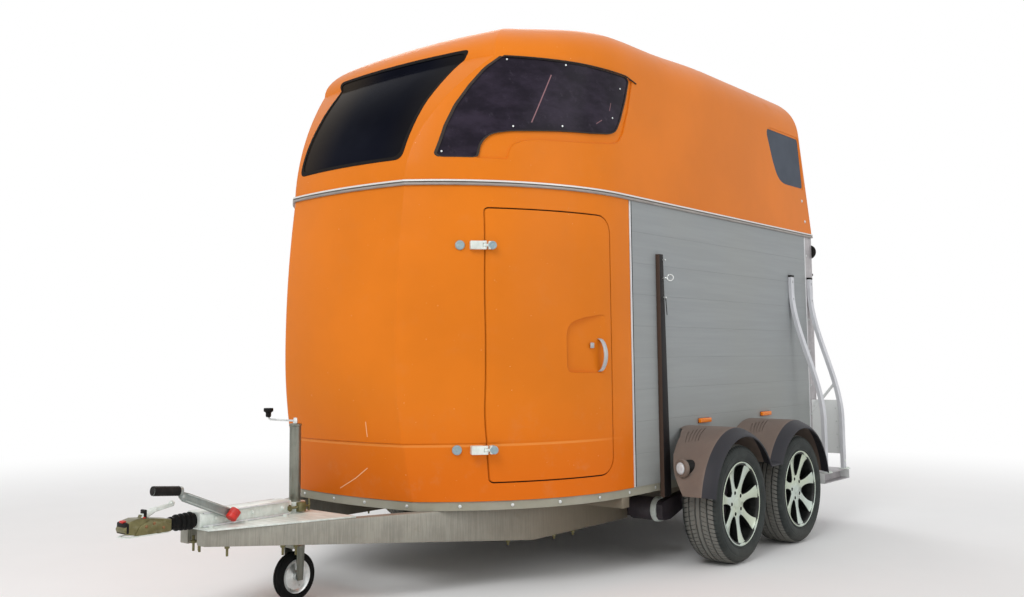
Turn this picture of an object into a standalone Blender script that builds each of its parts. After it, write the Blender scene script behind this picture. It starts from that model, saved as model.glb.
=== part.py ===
"""Two-horse trailer on two braked axles, parked on its jack.

Metres, +Z up, nose towards -Y, groom's door on the +X side. Lengths along the trailer are stations
measured from the front axle; one empty moves the finished model so that its middle stands on Y = 0.
"""

import bpy
import bmesh
from math import asin, cos, pi, radians, sin, sqrt
from mathutils import Matrix, Vector

# Fits
TOUCH = 0.0003
RUN = 0.0005
MOVE_GAP = 0.006

# Body shell
HALF_WIDTH = 0.864
FLOOR_UNDER = 0.360
FLOOR_THICK = 0.038
BELT_Z = 1.773
EAVE_Z = 2.380
CROWN_RISE = 0.366
FRONT_CROWN_RISE = 0.333
CROWN_START = -0.132
CROWN_RUN = 0.679
SHELL = 0.025
WALL = 0.022
CREASE_X = 0.365
CREASE_Y = -1.555
FRONT_CROWN = 0.035
SIDE_START = -0.600
TRIM_Y = -0.530
PLAN_STEPS = 7
WALL_REAR = 1.640
HOOD_REAR = 1.690
HOOD_RAKE = 0.2066
HOOD_CREASE_SPREAD = 0.215
HOOD_CREASE_LEAN = 0.365
HOOD_SIDE_ADVANCE = 0.120
HOOD_TUMBLEHOME = 0.012
NOSE_BULGE = 0.053
NOSE_BULGE_Z = 1.040
SWAGE_Z = 0.648
SWAGE_STEP = 0.006
CHIN_SLOPE = 0.230

# Belt rail
RAIL_WEB = 0.020
RAIL_LIP = 0.032
RAIL_OUT = 0.010

# Openings in the shells
WINDSCREEN_Z0 = 1.888
WINDSCREEN_Z1 = 2.425
WINDSCREEN_HALF_LOW = 0.332
WINDSCREEN_HALF_HIGH = 0.441
GLASS = 0.006
GLASS_SET = 0.004
DOOR_FRONT = -1.335
DOOR_BACK = -0.693
DOOR_LOW = 0.474
DOOR_HIGH = 1.665
REAR_OPEN_HALF = HALF_WIDTH - 0.164
REAR_OPEN_TOP = 2.540
FLAP_THICK = 0.028

# Chassis
BEAM_WIDTH = 0.050
BEAM_LOW = 0.197
BEAM_NOSE_LOW = 0.300
BEAM_IN = 0.264
BEAM_X = HALF_WIDTH - BEAM_IN
BEAM_KINK = -1.000
STUB_Y = -0.600
BEAM_NOSE_X = 0.055
PLATFORM_FRONT = 1.275
PLATFORM_REAR = 1.666
PLATFORM_HALF = HALF_WIDTH + 0.196
PLATFORM_Z0 = 0.250
PLATFORM_Z1 = 0.310

# Running gear
AXLE_SPACING = 0.713
TYRE_RADIUS = 0.2885
TYRE_WIDTH = 0.195
RIM_RADIUS = 0.200
WHEEL_OUT = 0.196
WHEEL_X = HALF_WIDTH + WHEEL_OUT
STUB_RADIUS = 0.022
HUB_RADIUS = 0.062
TUBE_SIDE = 0.080
TUBE_TRAIL = 0.170
TUBE_Z = 0.250
ARM_THICK = 0.030
DRUM_RADIUS = 0.125
GUARD_RADIUS = 0.370
GUARD_REACH = 0.120
GUARD_OUT = WHEEL_X + GUARD_REACH
GUARD_THICK = 0.006
GUARD_LOW = 0.353

# Coupling and jack
HITCH_Z = 0.393
JACK_Y = -1.846
HOUSING_LENGTH = 0.447
GAITER_LENGTH = 0.115
HEAD_LENGTH = 0.194
HOUSING_REAR = JACK_Y - 0.054
HOUSING_FRONT = HOUSING_REAR - HOUSING_LENGTH
GAITER_FRONT = HOUSING_FRONT - GAITER_LENGTH
TIP_Y = GAITER_FRONT - HEAD_LENGTH
BEAM_NOSE_Y = HOUSING_FRONT - 0.003
JACK_RADIUS = 0.0245
JACK_BORE = 0.0205
JACK_TOP = 0.735
JACK_LOW = 0.322
CRANK_REACH = 0.184
JACK_STEPS = 16
JOCKEY_RADIUS = 0.100
JOCKEY_WIDTH = 0.050
LEVER_Y = HOUSING_FRONT + 0.137

# Rear ramp, flap and guard rails
RAMP_HALF = HALF_WIDTH - 0.088
RAMP_THICK = 0.042
RAMP_LOW = 0.366
RAMP_PIN = 0.009
GUARD_RAIL_DEPTH = 0.038
GUARD_RAIL_THICK = 0.022
GUARD_RAIL_TOP = 1.500
GUARD_RAIL_SWEEP = 0.175

MIRROR = Matrix.Scale(-1, 4, (1, 0, 0))

for old in list(bpy.data.objects):
    bpy.data.objects.remove(old, do_unlink=True)

BELT_UNDER = BELT_Z - RAIL_WEB / 2
BELT_OVER = BELT_Z + RAIL_WEB / 2
FLOOR_TOP = FLOOR_UNDER + FLOOR_THICK
WALL_LOW = FLOOR_TOP + TOUCH
TAIL_Y = HOOD_REAR + 0.032
MIDDLE = (TIP_Y + TAIL_Y) / 2

datum = bpy.data.objects.new("trailer_datum", None)
datum.location = (0, -MIDDLE, 0)
bpy.context.collection.objects.link(datum)

PAINT = {
    "orange": ((0.80, 0.22, 0.03), 0.25, 0.0),
    "galvanised": ((0.55, 0.57, 0.58), 0.45, 0.9),
    "aluminium": ((0.62, 0.63, 0.65), 0.35, 0.9),
    "plank": ((0.36, 0.38, 0.39), 0.45, 0.3),
    "alloy": ((0.75, 0.76, 0.78), 0.25, 1.0),
    "rubber": ((0.02, 0.02, 0.02), 0.8, 0.0),
    "black": ((0.03, 0.03, 0.03), 0.5, 0.0),
    "guard": ((0.10, 0.10, 0.105), 0.5, 0.0),
    "glass": ((0.015, 0.015, 0.02), 0.05, 0.0),
    "amber": ((0.9, 0.30, 0.02), 0.2, 0.0),
    "red": ((0.6, 0.02, 0.02), 0.2, 0.0),
    "white": ((0.85, 0.85, 0.85), 0.3, 0.0),
    "deck": ((0.12, 0.12, 0.12), 0.9, 0.0),
    "grey": ((0.45, 0.45, 0.46), 0.5, 0.0),
}


def smooth(t):
    t = min(max(t, 0.0), 1.0)
    return t * t * (3 - 2 * t)


def place(name, bm, paint, at=(0, 0, 0), mirror=False, angle=35):
    """Makes a finished object of a mesh in stations, with its origin at the point it turns about."""
    if mirror:
        bm.transform(MIRROR)
        bmesh.ops.reverse_faces(bm, faces=bm.faces)
    at = Vector((-at[0] if mirror else at[0], at[1], at[2]))
    bm.transform(Matrix.Translation(-at))
    mesh = bpy.data.meshes.new(name)
    bm.to_mesh(mesh)
    bm.free()
    mesh.shade_smooth()
    mesh.set_sharp_from_angle(angle=radians(angle))
    colour, rough, metal = PAINT[paint]
    material = bpy.data.materials.new(name)
    material.use_nodes = True
    shader = material.node_tree.nodes["Principled BSDF"]
    shader.inputs["Base Color"].default_value = (*colour, 1)
    shader.inputs["Roughness"].default_value = rough
    shader.inputs["Metallic"].default_value = metal
    mesh.materials.append(material)
    made = bpy.data.objects.new(name, mesh)
    made.parent = datum
    made.location = at
    bpy.context.collection.objects.link(made)
    return made


def both_sides(name, make, paint, at=(0, 0, 0)):
    bm = make()
    place(f"{name}_right", bm.copy(), paint, at, True)
    place(f"{name}_left", bm, paint, at)


def outward(bm):
    bmesh.ops.recalc_face_normals(bm, faces=bm.faces)
    return bm


def loft(rings, closed=True, caps=True):
    """Bridges rings of points; a closed loft joins each ring's last point to its first."""
    bm = bmesh.new()
    grid = [[bm.verts.new(p) for p in ring] for ring in rings]
    count = len(rings[0])
    for low, high in zip(grid, grid[1:]):
        for i in range(count if closed else count - 1):
            j = (i + 1) % count
            bm.faces.new((low[i], low[j], high[j], high[i]))
    if caps:
        bm.faces.new(list(reversed(grid[0])))
        bm.faces.new(grid[-1])
    return outward(bm)


def prism(points, axis, low, high):
    """Extrudes an outline; points lie in the other two axes, in X, Y, Z order."""
    def put(p, h):
        return {"x": (h, p[0], p[1]), "y": (p[0], h, p[1]), "z": (p[0], p[1], h)}[axis]
    return loft([[put(p, low) for p in points], [put(p, high) for p in points]])


def box(x0, x1, y0, y1, z0, z1):
    return prism([(x0, y0), (x1, y0), (x1, y1), (x0, y1)], "z", z0, z1)


def rounded(u0, u1, v0, v1, radius, steps=4):
    """A rectangle with round corners."""
    points = []
    for cu, cv, start in ((u1 - radius, v1 - radius, 0), (u0 + radius, v1 - radius, 90),
                          (u0 + radius, v0 + radius, 180), (u1 - radius, v0 + radius, 270)):
        for i in range(steps + 1):
            a = radians(start + 90 * i / steps)
            points.append((cu + radius * cos(a), cv + radius * sin(a)))
    return points


def circle(u, v, radius, steps):
    return [(u + radius * cos(2 * pi * i / steps), v + radius * sin(2 * pi * i / steps)) for i in range(steps)]


def rod(axis, u, v, radius, low, high, steps=20):
    return prism(circle(u, v, radius, steps), axis, low, high)


def bore_radius(radius, steps, gap=RUN):
    """The corner radius of a faceted bore that clears a round pin of this radius."""
    return (radius + gap) / cos(pi / steps)


def turned(profile, centre, axis, steps):
    """Turns a closed profile of (radius, along) points about an axis through a centre."""
    bm = bmesh.new()
    rings = []
    for i in range(steps):
        a = 2 * pi * i / steps
        ring = []
        for r, h in profile:
            c, s = r * cos(a), r * sin(a)
            offset = {"x": (h, c, s), "y": (c, h, s), "z": (c, s, h)}[axis]
            ring.append(bm.verts.new(Vector(centre) + Vector(offset)))
        rings.append(ring)
    count = len(profile)
    for i in range(steps):
        a, b = rings[i], rings[(i + 1) % steps]
        for j in range(count):
            k = (j + 1) % count
            bm.faces.new((a[j], a[k], b[k], b[j]))
    return outward(bm)


def boolean(base, tool, operation):
    made = []
    for bm in (base, tool):
        mesh = bpy.data.meshes.new("work")
        bm.to_mesh(mesh)
        bm.free()
        thing = bpy.data.objects.new("work", mesh)
        bpy.context.collection.objects.link(thing)
        made.append(thing)
    modifier = made[0].modifiers.new("work", "BOOLEAN")
    modifier.operation = operation
    modifier.object = made[1]
    modifier.solver = "EXACT"
    graph = bpy.context.evaluated_depsgraph_get()
    result = bmesh.new()
    result.from_mesh(made[0].evaluated_get(graph).to_mesh())
    made[0].evaluated_get(graph).to_mesh_clear()
    for thing in made:
        mesh = thing.data
        bpy.data.objects.remove(thing, do_unlink=True)
        bpy.data.meshes.remove(mesh)
    bmesh.ops.dissolve_degenerate(result, dist=0.00002, edges=result.edges)
    return result


def fuse(base, *tools):
    for tool in tools:
        base = boolean(base, tool, "UNION")
    return base


def cut(base, *tools):
    for tool in tools:
        base = boolean(base, tool, "DIFFERENCE")
    return base


# Plan outline shared by the nose, the hood, the belt rail and the floor
def plan(crease_x, crease_y, crown, half, start, rear, inset=0.0, side_steps=1):
    """Half outline from the centre of the front to the rear: crowned front, crease, side arc, straight."""
    cx, cy = crease_x - inset * 0.55, crease_y + inset
    hx = half - inset
    points = [(cx * t, cy - crown * (1 - t * t)) for t in (0, 0.34, 0.67)]
    run, rise = hx - cx, start - cy
    radius = (run * run + rise * rise) / (2 * run)
    sweep = asin(rise / radius)
    for i in range(PLAN_STEPS + 1):
        a = -sweep * (1 - i / PLAN_STEPS)
        points.append((hx - radius + radius * cos(a), start + radius * sin(a)))
    for i in range(1, side_steps + 1):
        points.append((hx, start + (rear - start) * i / side_steps))
    return points


def whole(half):
    """Mirrors a half outline that starts on the centreline: right rear to left rear."""
    return [(-x, *rest) for x, *rest in reversed(half[1:])] + half


def skin(outer, inner, ridge=False):
    """Closes two open grids of the same size into one shell; at a ridge the last rows fold shut by themselves."""
    bm = bmesh.new()
    sheets = [[[bm.verts.new(p) for p in row] for row in rows] for rows in (outer, inner)]
    rows, count = len(outer), len(outer[0])
    for sheet in sheets:
        for i in range(rows - 1):
            for j in range(count - 1):
                bm.faces.new((sheet[i][j], sheet[i][j + 1], sheet[i + 1][j + 1], sheet[i + 1][j]))
    o, n = sheets
    for j in range(count - 1):
        bm.faces.new((o[0][j], n[0][j], n[0][j + 1], o[0][j + 1]))
        if not ridge:
            bm.faces.new((o[-1][j], o[-1][j + 1], n[-1][j + 1], n[-1][j]))
    for i in range(rows - 1):
        bm.faces.new((o[i][0], o[i + 1][0], n[i + 1][0], n[i][0]))
        bm.faces.new((o[i][-1], n[i][-1], n[i + 1][-1], o[i + 1][-1]))
    bmesh.ops.remove_doubles(bm, verts=bm.verts, dist=0.00002)
    bmesh.ops.triangulate(bm, faces=bm.faces)
    return outward(bm)


# Nose: bulging front and side panels below the belt, with a swage line above a receding chin
def bulge(z):
    if z > NOSE_BULGE_Z:
        reach = BELT_Z - RAIL_LIP / 2 - NOSE_BULGE_Z
        return NOSE_BULGE * max(0.0, 1 - ((z - NOSE_BULGE_Z) / reach) ** 2)
    if z >= SWAGE_Z:
        reach = NOSE_BULGE_Z - SWAGE_Z
        return NOSE_BULGE * (1 - 0.7 * ((z - NOSE_BULGE_Z) / reach) ** 2)
    return NOSE_BULGE * 0.3 - SWAGE_STEP + (z - SWAGE_Z) * CHIN_SLOPE


def nose_point(x, y, z):
    reach = min(1.0, max(0.0, (TRIM_Y - y) / (TRIM_Y - CREASE_Y)))
    return (x, y - bulge(z) * reach, z)


NOSE_LEVELS = [WALL_LOW, 0.52, SWAGE_Z - 0.003, SWAGE_Z + 0.001, 0.77, 0.90, NOSE_BULGE_Z, 1.22, 1.40, 1.58,
               BELT_Z - RAIL_LIP / 2, BELT_UNDER]


def nose_rows(inset, levels=NOSE_LEVELS, rear=TRIM_Y):
    rows = []
    for z in levels:
        outline = plan(CREASE_X, CREASE_Y, FRONT_CROWN, HALF_WIDTH, SIDE_START, rear, inset)
        rows.append(whole([nose_point(x, y, z) for x, y in outline]))
    return rows


# Hood: windscreen and side lights leaning in to an eave crease, with a rounded roof above it
def rear_at(z):
    return HOOD_REAR - HOOD_RAKE * (z - BELT_OVER)


def hood_rows(inset, side_steps=3, roof_steps=6):
    rows = []
    for t in (0, 0.25, 0.5, 0.75, 1.0):
        z = BELT_OVER + t * (EAVE_Z - BELT_OVER)
        outline = plan(CREASE_X + HOOD_CREASE_SPREAD * t ** 1.9, CREASE_Y + HOOD_CREASE_LEAN * t ** 1.8,
                       FRONT_CROWN + 0.02 * t, HALF_WIDTH - HOOD_TUMBLEHOME * t,
                       SIDE_START + HOOD_SIDE_ADVANCE * t, rear_at(z), inset, side_steps)
        rows.append(whole([(x, y, z) for x, y in outline]))
    base = rows[-1]
    for k in range(1, roof_steps + 1):
        h = sin(pi / 2 * k / roof_steps)
        row = []
        for x, y, z in base:
            full = 2.0 + 0.8 * smooth((y + 1.209) / 0.887)
            shrink = max(0.0, 1 - h ** full) ** (1 / full)
            ridge = max(y, CROWN_START)
            rise = FRONT_CROWN_RISE + (CROWN_RISE - FRONT_CROWN_RISE) * smooth((ridge - CROWN_START) / CROWN_RUN)
            zz = EAVE_Z + (rise - inset) * h
            yy = ridge + (y - ridge) * shrink
            if yy > 0:
                yy *= rear_at(zz) / rear_at(EAVE_Z)
            row.append((x * shrink, yy, zz))
        rows.append(row)
    return rows


def windscreen(grow):
    z0, z1 = WINDSCREEN_Z0 - grow, WINDSCREEN_Z1 + grow
    low, high = WINDSCREEN_HALF_LOW + grow, WINDSCREEN_HALF_HIGH + grow
    mid = (2 * low + high) / 3
    right = [(low - 0.05, z0), (low - 0.012, z0 + 0.012), (low, z0 + 0.05), (mid - 0.012, (z0 + z1) / 2),
             (high - 0.045, z1 - 0.08), (high - 0.004, z1 - 0.016), (high - 0.016, z1)]
    return prism(right + [(-x, z) for x, z in reversed(right)], "y", -1.75, -1.0)


# Side light outline, (station, height), clockwise from its top front corner; the foot runs forward
SIDE_LIGHT = [(-1.165, 2.376), (-0.83, 2.374), (-0.51, 2.366), (-0.492, 2.35), (-0.527, 2.25), (-0.577, 2.144),
              (-0.614, 2.084), (-0.66, 2.062), (-0.80, 2.047), (-0.97, 2.036), (-1.195, 2.017), (-1.271, 2.0),
              (-1.313, 1.957), (-1.33, 1.893), (-1.345, 1.888), (-1.45, 1.888), (-1.463, 1.90), (-1.44, 1.963),
              (-1.414, 2.034), (-1.367, 2.129), (-1.301, 2.228), (-1.235, 2.313)]
REAR_LIGHT = [(1.072, 2.386), (1.531, 2.386), (1.544, 2.372), (1.582, 2.085), (1.57, 2.072), (1.313, 2.07),
              (1.25, 2.083), (1.20, 2.12), (1.153, 2.198)]


def grown(outline, by):
    """Moves each side of an outline outwards by a distance."""
    count = len(outline)
    area = sum(outline[i][0] * outline[(i + 1) % count][1] - outline[(i + 1) % count][0] * outline[i][1]
               for i in range(count))
    by = by if area > 0 else -by
    made = []
    for i in range(count):
        a, b, c = (Vector(outline[(i + k) % count]) for k in (-1, 0, 1))
        n1 = Vector(((b - a).y, -(b - a).x)).normalized()
        n2 = Vector(((c - b).y, -(c - b).x)).normalized()
        made.append(tuple(b + (n1 + n2) * by / (1 + n1.dot(n2))))
    return made


def side_prism(outline, grow=0.0):
    return prism(grown(outline, grow), "x", HALF_WIDTH - 0.55, HALF_WIDTH + 0.15)


def mirrored(bm):
    made = bm.copy()
    made.transform(MIRROR)
    bmesh.ops.reverse_faces(made, faces=made.faces)
    return made


def raked(bm):
    """Leans a solid drawn at the belt's rear plane forwards with the hood's rear edge."""
    for v in bm.verts:
        v.co.y -= HOOD_RAKE * (v.co.z - BELT_OVER)
    return bm


def hood():
    shell = skin(hood_rows(0.0), hood_rows(SHELL), ridge=True)
    rim = hood_rows(SHELL * 0.5)
    ring = [(row[-1][0], row[-1][2]) for row in rim]
    arch = ring + [(-x, z) for x, z in reversed(ring[:-1])]
    frame = raked(prism(arch, "y", HOOD_REAR - 0.035, HOOD_REAR - 0.001))
    mouth = raked(prism(rear_opening(0.0), "y", HOOD_REAR - 0.08, HOOD_REAR + 0.08))
    frame = cut(frame, mouth)
    shell = fuse(shell, frame)
    shell = cut(shell, windscreen(0.0))
    for outline in (SIDE_LIGHT, REAR_LIGHT):
        shell = cut(shell, side_prism(outline), mirrored(side_prism(outline)))
    for x in FLAP_HINGES:
        shell = fuse(shell, flap_ear(x - 0.032), flap_ear(x + 0.020), flap_pin(x))
    return shell


def rear_opening(inset):
    """Arched opening of the hood's rear, open towards the ramp."""
    half, top = REAR_OPEN_HALF - inset, REAR_OPEN_TOP - inset
    low = BELT_OVER - 0.05 if inset == 0 else BELT_OVER + 0.004
    radius = 0.16
    points = [(half, low)]
    for i in range(6):
        a = radians(90 * i / 5)
        points.append((half - radius + radius * cos(a), top - radius + radius * sin(a)))
    return points + [(-x, z) for x, z in reversed(points)]


FLAP_HINGES = (-REAR_OPEN_HALF / 2, REAR_OPEN_HALF / 2)
FLAP_AXIS_Z = REAR_OPEN_TOP + 0.012
FLAP_AXIS_Y = rear_at(FLAP_AXIS_Z) + 0.016


def flap_ear(x):
    return prism([(FLAP_AXIS_Y - 0.022, FLAP_AXIS_Z - 0.008), (FLAP_AXIS_Y + 0.009, FLAP_AXIS_Z - 0.010),
                  (FLAP_AXIS_Y + 0.012, FLAP_AXIS_Z + 0.004), (FLAP_AXIS_Y + 0.002, FLAP_AXIS_Z + 0.012),
                  (FLAP_AXIS_Y - 0.030, FLAP_AXIS_Z + 0.030)], "x", x, x + 0.012)


def flap_pin(x):
    return rod("x", FLAP_AXIS_Y, FLAP_AXIS_Z, 0.005, x - 0.028, x + 0.028, 16)


def flap():
    leaf = raked(prism(rear_opening(MOVE_GAP), "y", HOOD_REAR - FLAP_THICK, HOOD_REAR - 0.002))
    for x in FLAP_HINGES:
        strap = prism([(FLAP_AXIS_Y - 0.009, FLAP_AXIS_Z - 0.020), (FLAP_AXIS_Y - 0.023, FLAP_AXIS_Z - 0.030),
                       (FLAP_AXIS_Y - 0.020, FLAP_AXIS_Z - 0.055), (FLAP_AXIS_Y + 0.000, FLAP_AXIS_Z - 0.055),
                       (FLAP_AXIS_Y + 0.009, FLAP_AXIS_Z - 0.004), (FLAP_AXIS_Y + 0.006, FLAP_AXIS_Z + 0.008),
                       (FLAP_AXIS_Y - 0.006, FLAP_AXIS_Z + 0.008), (FLAP_AXIS_Y - 0.009, FLAP_AXIS_Z)],
                      "x", x - 0.018, x + 0.018)
        leaf = fuse(leaf, strap)
        leaf = cut(leaf, rod("x", FLAP_AXIS_Y, FLAP_AXIS_Z, bore_radius(0.005, 16), x - 0.05, x + 0.05, 16))
    return leaf


def glass(tool):
    pane = skin(hood_rows(GLASS_SET)[:7], hood_rows(GLASS_SET + GLASS)[:7])
    return boolean(pane, tool, "INTERSECT")


# Groom's door: a piece of the nose on a standing pin outside its forward edge
def nose_surface(y, z):
    """Plan x of the nose's outer skin at a station and height."""
    best = None
    row = [nose_point(a, b, z) for a, b in plan(CREASE_X, CREASE_Y, FRONT_CROWN, HALF_WIDTH, SIDE_START, TRIM_Y)]
    for p, q in zip(row, row[1:]):
        if p[1] <= y <= q[1]:
            best = p[0] + (q[0] - p[0]) * (y - p[1]) / (q[1] - p[1])
    return best


HINGE_SIZE = 0.040
HINGE_PIN = 0.004
HINGE_HEIGHTS = (1.495, 0.620)
NOSE_RADIUS = ((HALF_WIDTH - CREASE_X) ** 2 + (SIDE_START - CREASE_Y) ** 2) / (2 * (HALF_WIDTH - CREASE_X))
DOOR_TURN = asin((SIDE_START - DOOR_FRONT) / NOSE_RADIUS)
ALONG = Vector((sin(DOOR_TURN), cos(DOOR_TURN)))
OUT = Vector((cos(DOOR_TURN), -sin(DOOR_TURN)))
DOOR_AXIS = Vector((nose_surface(DOOR_FRONT, NOSE_BULGE_Z), DOOR_FRONT)) + OUT * 0.008


def hinge_plate(points, z0, z1):
    return prism([tuple(DOOR_AXIS + ALONG * t + OUT * n) for t, n in points], "z", z0, z1)


def hinge_depth(z):
    """How far the skin beside the hinge lies inside the pin's line."""
    spot = Vector((nose_surface(DOOR_FRONT, z), DOOR_FRONT))
    return (DOOR_AXIS - spot).dot(OUT)


def fixed_hinge(z):
    deep = hinge_depth(z) + 0.010
    arm = [(0.009, -0.009), (0.009, 0.009), (-0.062, 0.004), (-0.064, -deep - 0.004), (-0.036, -deep), (-0.034, -0.009)]
    low = hinge_plate(arm, z - HINGE_SIZE / 2, z - HINGE_SIZE / 2 + 0.011)
    high = hinge_plate(arm, z + HINGE_SIZE / 2 - 0.011, z + HINGE_SIZE / 2)
    back = hinge_plate([(-0.034, -0.008), (-0.034, 0.005), (-0.062, 0.004), (-0.064, -deep - 0.004), (-0.036, -deep)],
                       z - HINGE_SIZE / 2 + 0.002, z + HINGE_SIZE / 2 - 0.002)
    pin = rod("z", DOOR_AXIS.x, DOOR_AXIS.y, HINGE_PIN, z - HINGE_SIZE / 2 + 0.004, z + HINGE_SIZE / 2 - 0.004, 16)
    return fuse(low, high, back, pin)


def moving_hinge(z):
    deep = hinge_depth(z) + 0.010
    arm = [(-0.009, -0.009), (0.004, -0.012), (0.006, -deep), (0.044, -deep + 0.004), (0.046, 0.000), (0.006, 0.009),
           (-0.009, 0.009)]
    plate = hinge_plate(arm, z - 0.0065, z + 0.0065)
    wide = hinge_plate([(0.016, -deep + 0.002), (0.044, -deep + 0.004), (0.046, 0.000), (0.016, 0.006)],
                       z - HINGE_SIZE / 2 + 0.002, z + HINGE_SIZE / 2 - 0.002)
    bore = rod("z", DOOR_AXIS.x, DOOR_AXIS.y, bore_radius(HINGE_PIN, 16), z - 0.05, z + 0.05, 16)
    return cut(fuse(plate, wide), bore)


def door_outline(inset):
    points = rounded(DOOR_FRONT + inset, DOOR_BACK - inset, DOOR_LOW + inset, DOOR_HIGH - inset, 0.020 - inset, 1)
    big = [p for p in points]
    radius = 0.085 - inset
    low = [(DOOR_BACK - inset - radius + radius * cos(a), DOOR_LOW + inset + radius + radius * sin(a))
           for a in (radians(-90 + 90 * i / 4) for i in range(5))]
    high = [(DOOR_BACK - inset - radius + radius * cos(a), DOOR_HIGH - inset - radius + radius * sin(a))
            for a in (radians(90 * i / 4) for i in range(5))]
    return low + high + [p for p in big if p[0] < (DOOR_FRONT + DOOR_BACK) / 2]


def buffer(z):
    y = DOOR_FRONT - 0.077
    spot = Vector((nose_surface(y, z), y, z))
    normal = Vector((OUT.x, OUT.y, 0))
    disc = rod("z", 0, 0, 0.021, -0.012, 0.010, 16)
    turn = Vector((0, 0, 1)).rotation_difference(normal).to_matrix().to_4x4()
    disc.transform(Matrix.Translation(spot) @ turn)
    return disc


def nose():
    shell = skin(nose_rows(0.0), nose_rows(SHELL))
    shell = cut(shell, prism(door_outline(0.0), "x", CREASE_X + 0.05, HALF_WIDTH + 0.15))
    return fuse(shell, *[fixed_hinge(z) for z in HINGE_HEIGHTS], *[buffer(z) for z in HINGE_HEIGHTS])


RECESS = [(-0.976, 0.965), (-0.978, 1.110), (-0.968, 1.145), (-0.940, 1.170), (-0.865, 1.190), (-0.738, 1.206),
          (-0.738, 0.938), (-0.950, 0.942), (-0.968, 0.948)]
RECESS_DEPTH = 0.016


def door():
    leaf = boolean(skin(nose_rows(0.0), nose_rows(SHELL)), prism(door_outline(MOVE_GAP), "x", CREASE_X + 0.05, HALF_WIDTH + 0.15),
                   "INTERSECT")
    a, b = RECESS[0][0] - 0.01, RECESS[5][0]
    out = HALF_WIDTH + 0.15
    floor = [(nose_surface(a, NOSE_BULGE_Z) - RECESS_DEPTH, a), (nose_surface(b, NOSE_BULGE_Z) + TOUCH, b), (out, b),
             (out, a)]
    leaf = cut(leaf, boolean(prism(floor, "z", 0.85, 1.25), prism(RECESS, "x", CREASE_X + 0.05, out), "INTERSECT"))
    return fuse(leaf, *[moving_hinge(z) for z in HINGE_HEIGHTS])


def recess_floor(y):
    a, b = RECESS[0][0] - 0.01, RECESS[5][0]
    low, high = nose_surface(a, NOSE_BULGE_Z) - RECESS_DEPTH, nose_surface(b, NOSE_BULGE_Z) + TOUCH
    return low + (high - low) * (y - a) / (b - a)


def handle():
    """A bow handle whose two ends stand in the recess."""
    half, z0, z1, thick = 0.014, 0.940, 1.098, 0.009
    foot = recess_floor(HANDLE_Y) - 0.010
    outer, inner = [], []
    for i in range(11):
        t = i / 10
        z = z0 + (z1 - z0) * t
        out = HANDLE_REACH * (1 - (2 * t - 1) ** 2) ** 0.6
        outer.append((foot + thick + out, z))
        inner.append((foot + out * 0.98, z0 + thick + (z1 - z0 - 2 * thick) * t))
    bow = prism(outer + list(reversed(inner)), "y", HANDLE_Y - half, HANDLE_Y + half)
    base = [(recess_floor(y) + TOUCH, y) for y in (HANDLE_Y - 0.03, HANDLE_Y + 0.03)]
    deep = HALF_WIDTH - 0.164
    return cut(bow, prism(base + [(deep, HANDLE_Y + 0.03), (deep, HANDLE_Y - 0.03)], "z", 0.8, 1.2))


HANDLE_Y = -0.778
HANDLE_REACH = 0.046


# Side walls of planks, with the trim strip at their front
PLANK_COUNT = 9
GROOVE = 0.004


def side_wall():
    top = BELT_UNDER
    pitch = (top - WALL_LOW) / PLANK_COUNT
    outline = [(HALF_WIDTH - WALL, WALL_LOW), (HALF_WIDTH, WALL_LOW)]
    for i in range(1, PLANK_COUNT):
        z = WALL_LOW + pitch * i
        outline += [(HALF_WIDTH, z - GROOVE), (HALF_WIDTH - GROOVE, z), (HALF_WIDTH, z + GROOVE)]
    outline += [(HALF_WIDTH, top), (HALF_WIDTH - WALL, top)]
    wall = prism(outline, "y", TRIM_Y + TOUCH, POST_FRONT - TOUCH)
    strip = box(HALF_WIDTH - 0.010, HALF_WIDTH + 0.004, TRIM_Y + TOUCH * 3, TRIM_Y + 0.022, WALL_LOW + 0.002,
                BELT_Z - RAIL_LIP / 2 - TOUCH)
    return fuse(wall, strip)


POST_DEPTH = 0.080
POST_WIDTH = 0.100
POST_REAR = HOOD_REAR - 0.005
POST_FRONT = WALL_REAR - POST_DEPTH


def sweep_out(z):
    return HALF_WIDTH + TOUCH + GUARD_RAIL_SWEEP * smooth((GUARD_RAIL_TOP - 0.09 - z) / 0.80)


RAIL_HEIGHTS = [PLATFORM_Z1 + TOUCH] + [0.42 + 0.1 * i for i in range(11)] + [GUARD_RAIL_TOP]


def rail_face(z):
    """Inner face of a guard rail, straight between its stations."""
    for low, high in zip(RAIL_HEIGHTS, RAIL_HEIGHTS[1:]):
        if low <= z <= high:
            t = (z - low) / (high - low)
            return sweep_out(low) + (sweep_out(high) - sweep_out(low)) * t
    return sweep_out(z)


def guard_rail(y0):
    heights = RAIL_HEIGHTS
    inner = [(sweep_out(z), z) for z in heights]
    outer = []
    for x, z in inner:
        slope = (sweep_out(z + 0.01) - sweep_out(z - 0.01)) / 0.02 if PLATFORM_Z1 + 0.05 < z < GUARD_RAIL_TOP else 0.0
        n = Vector((1, -slope)).normalized() * GUARD_RAIL_THICK
        outer.append((x + n.x, z + n.y))
    rail = prism(inner + list(reversed(outer)), "y", y0, y0 + GUARD_RAIL_DEPTH)
    return rail


RAIL_STATIONS = {"front": PLATFORM_FRONT + 0.022, "rear": WALL_REAR - 0.058}
GUSSET_TOP = 0.730


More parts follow.
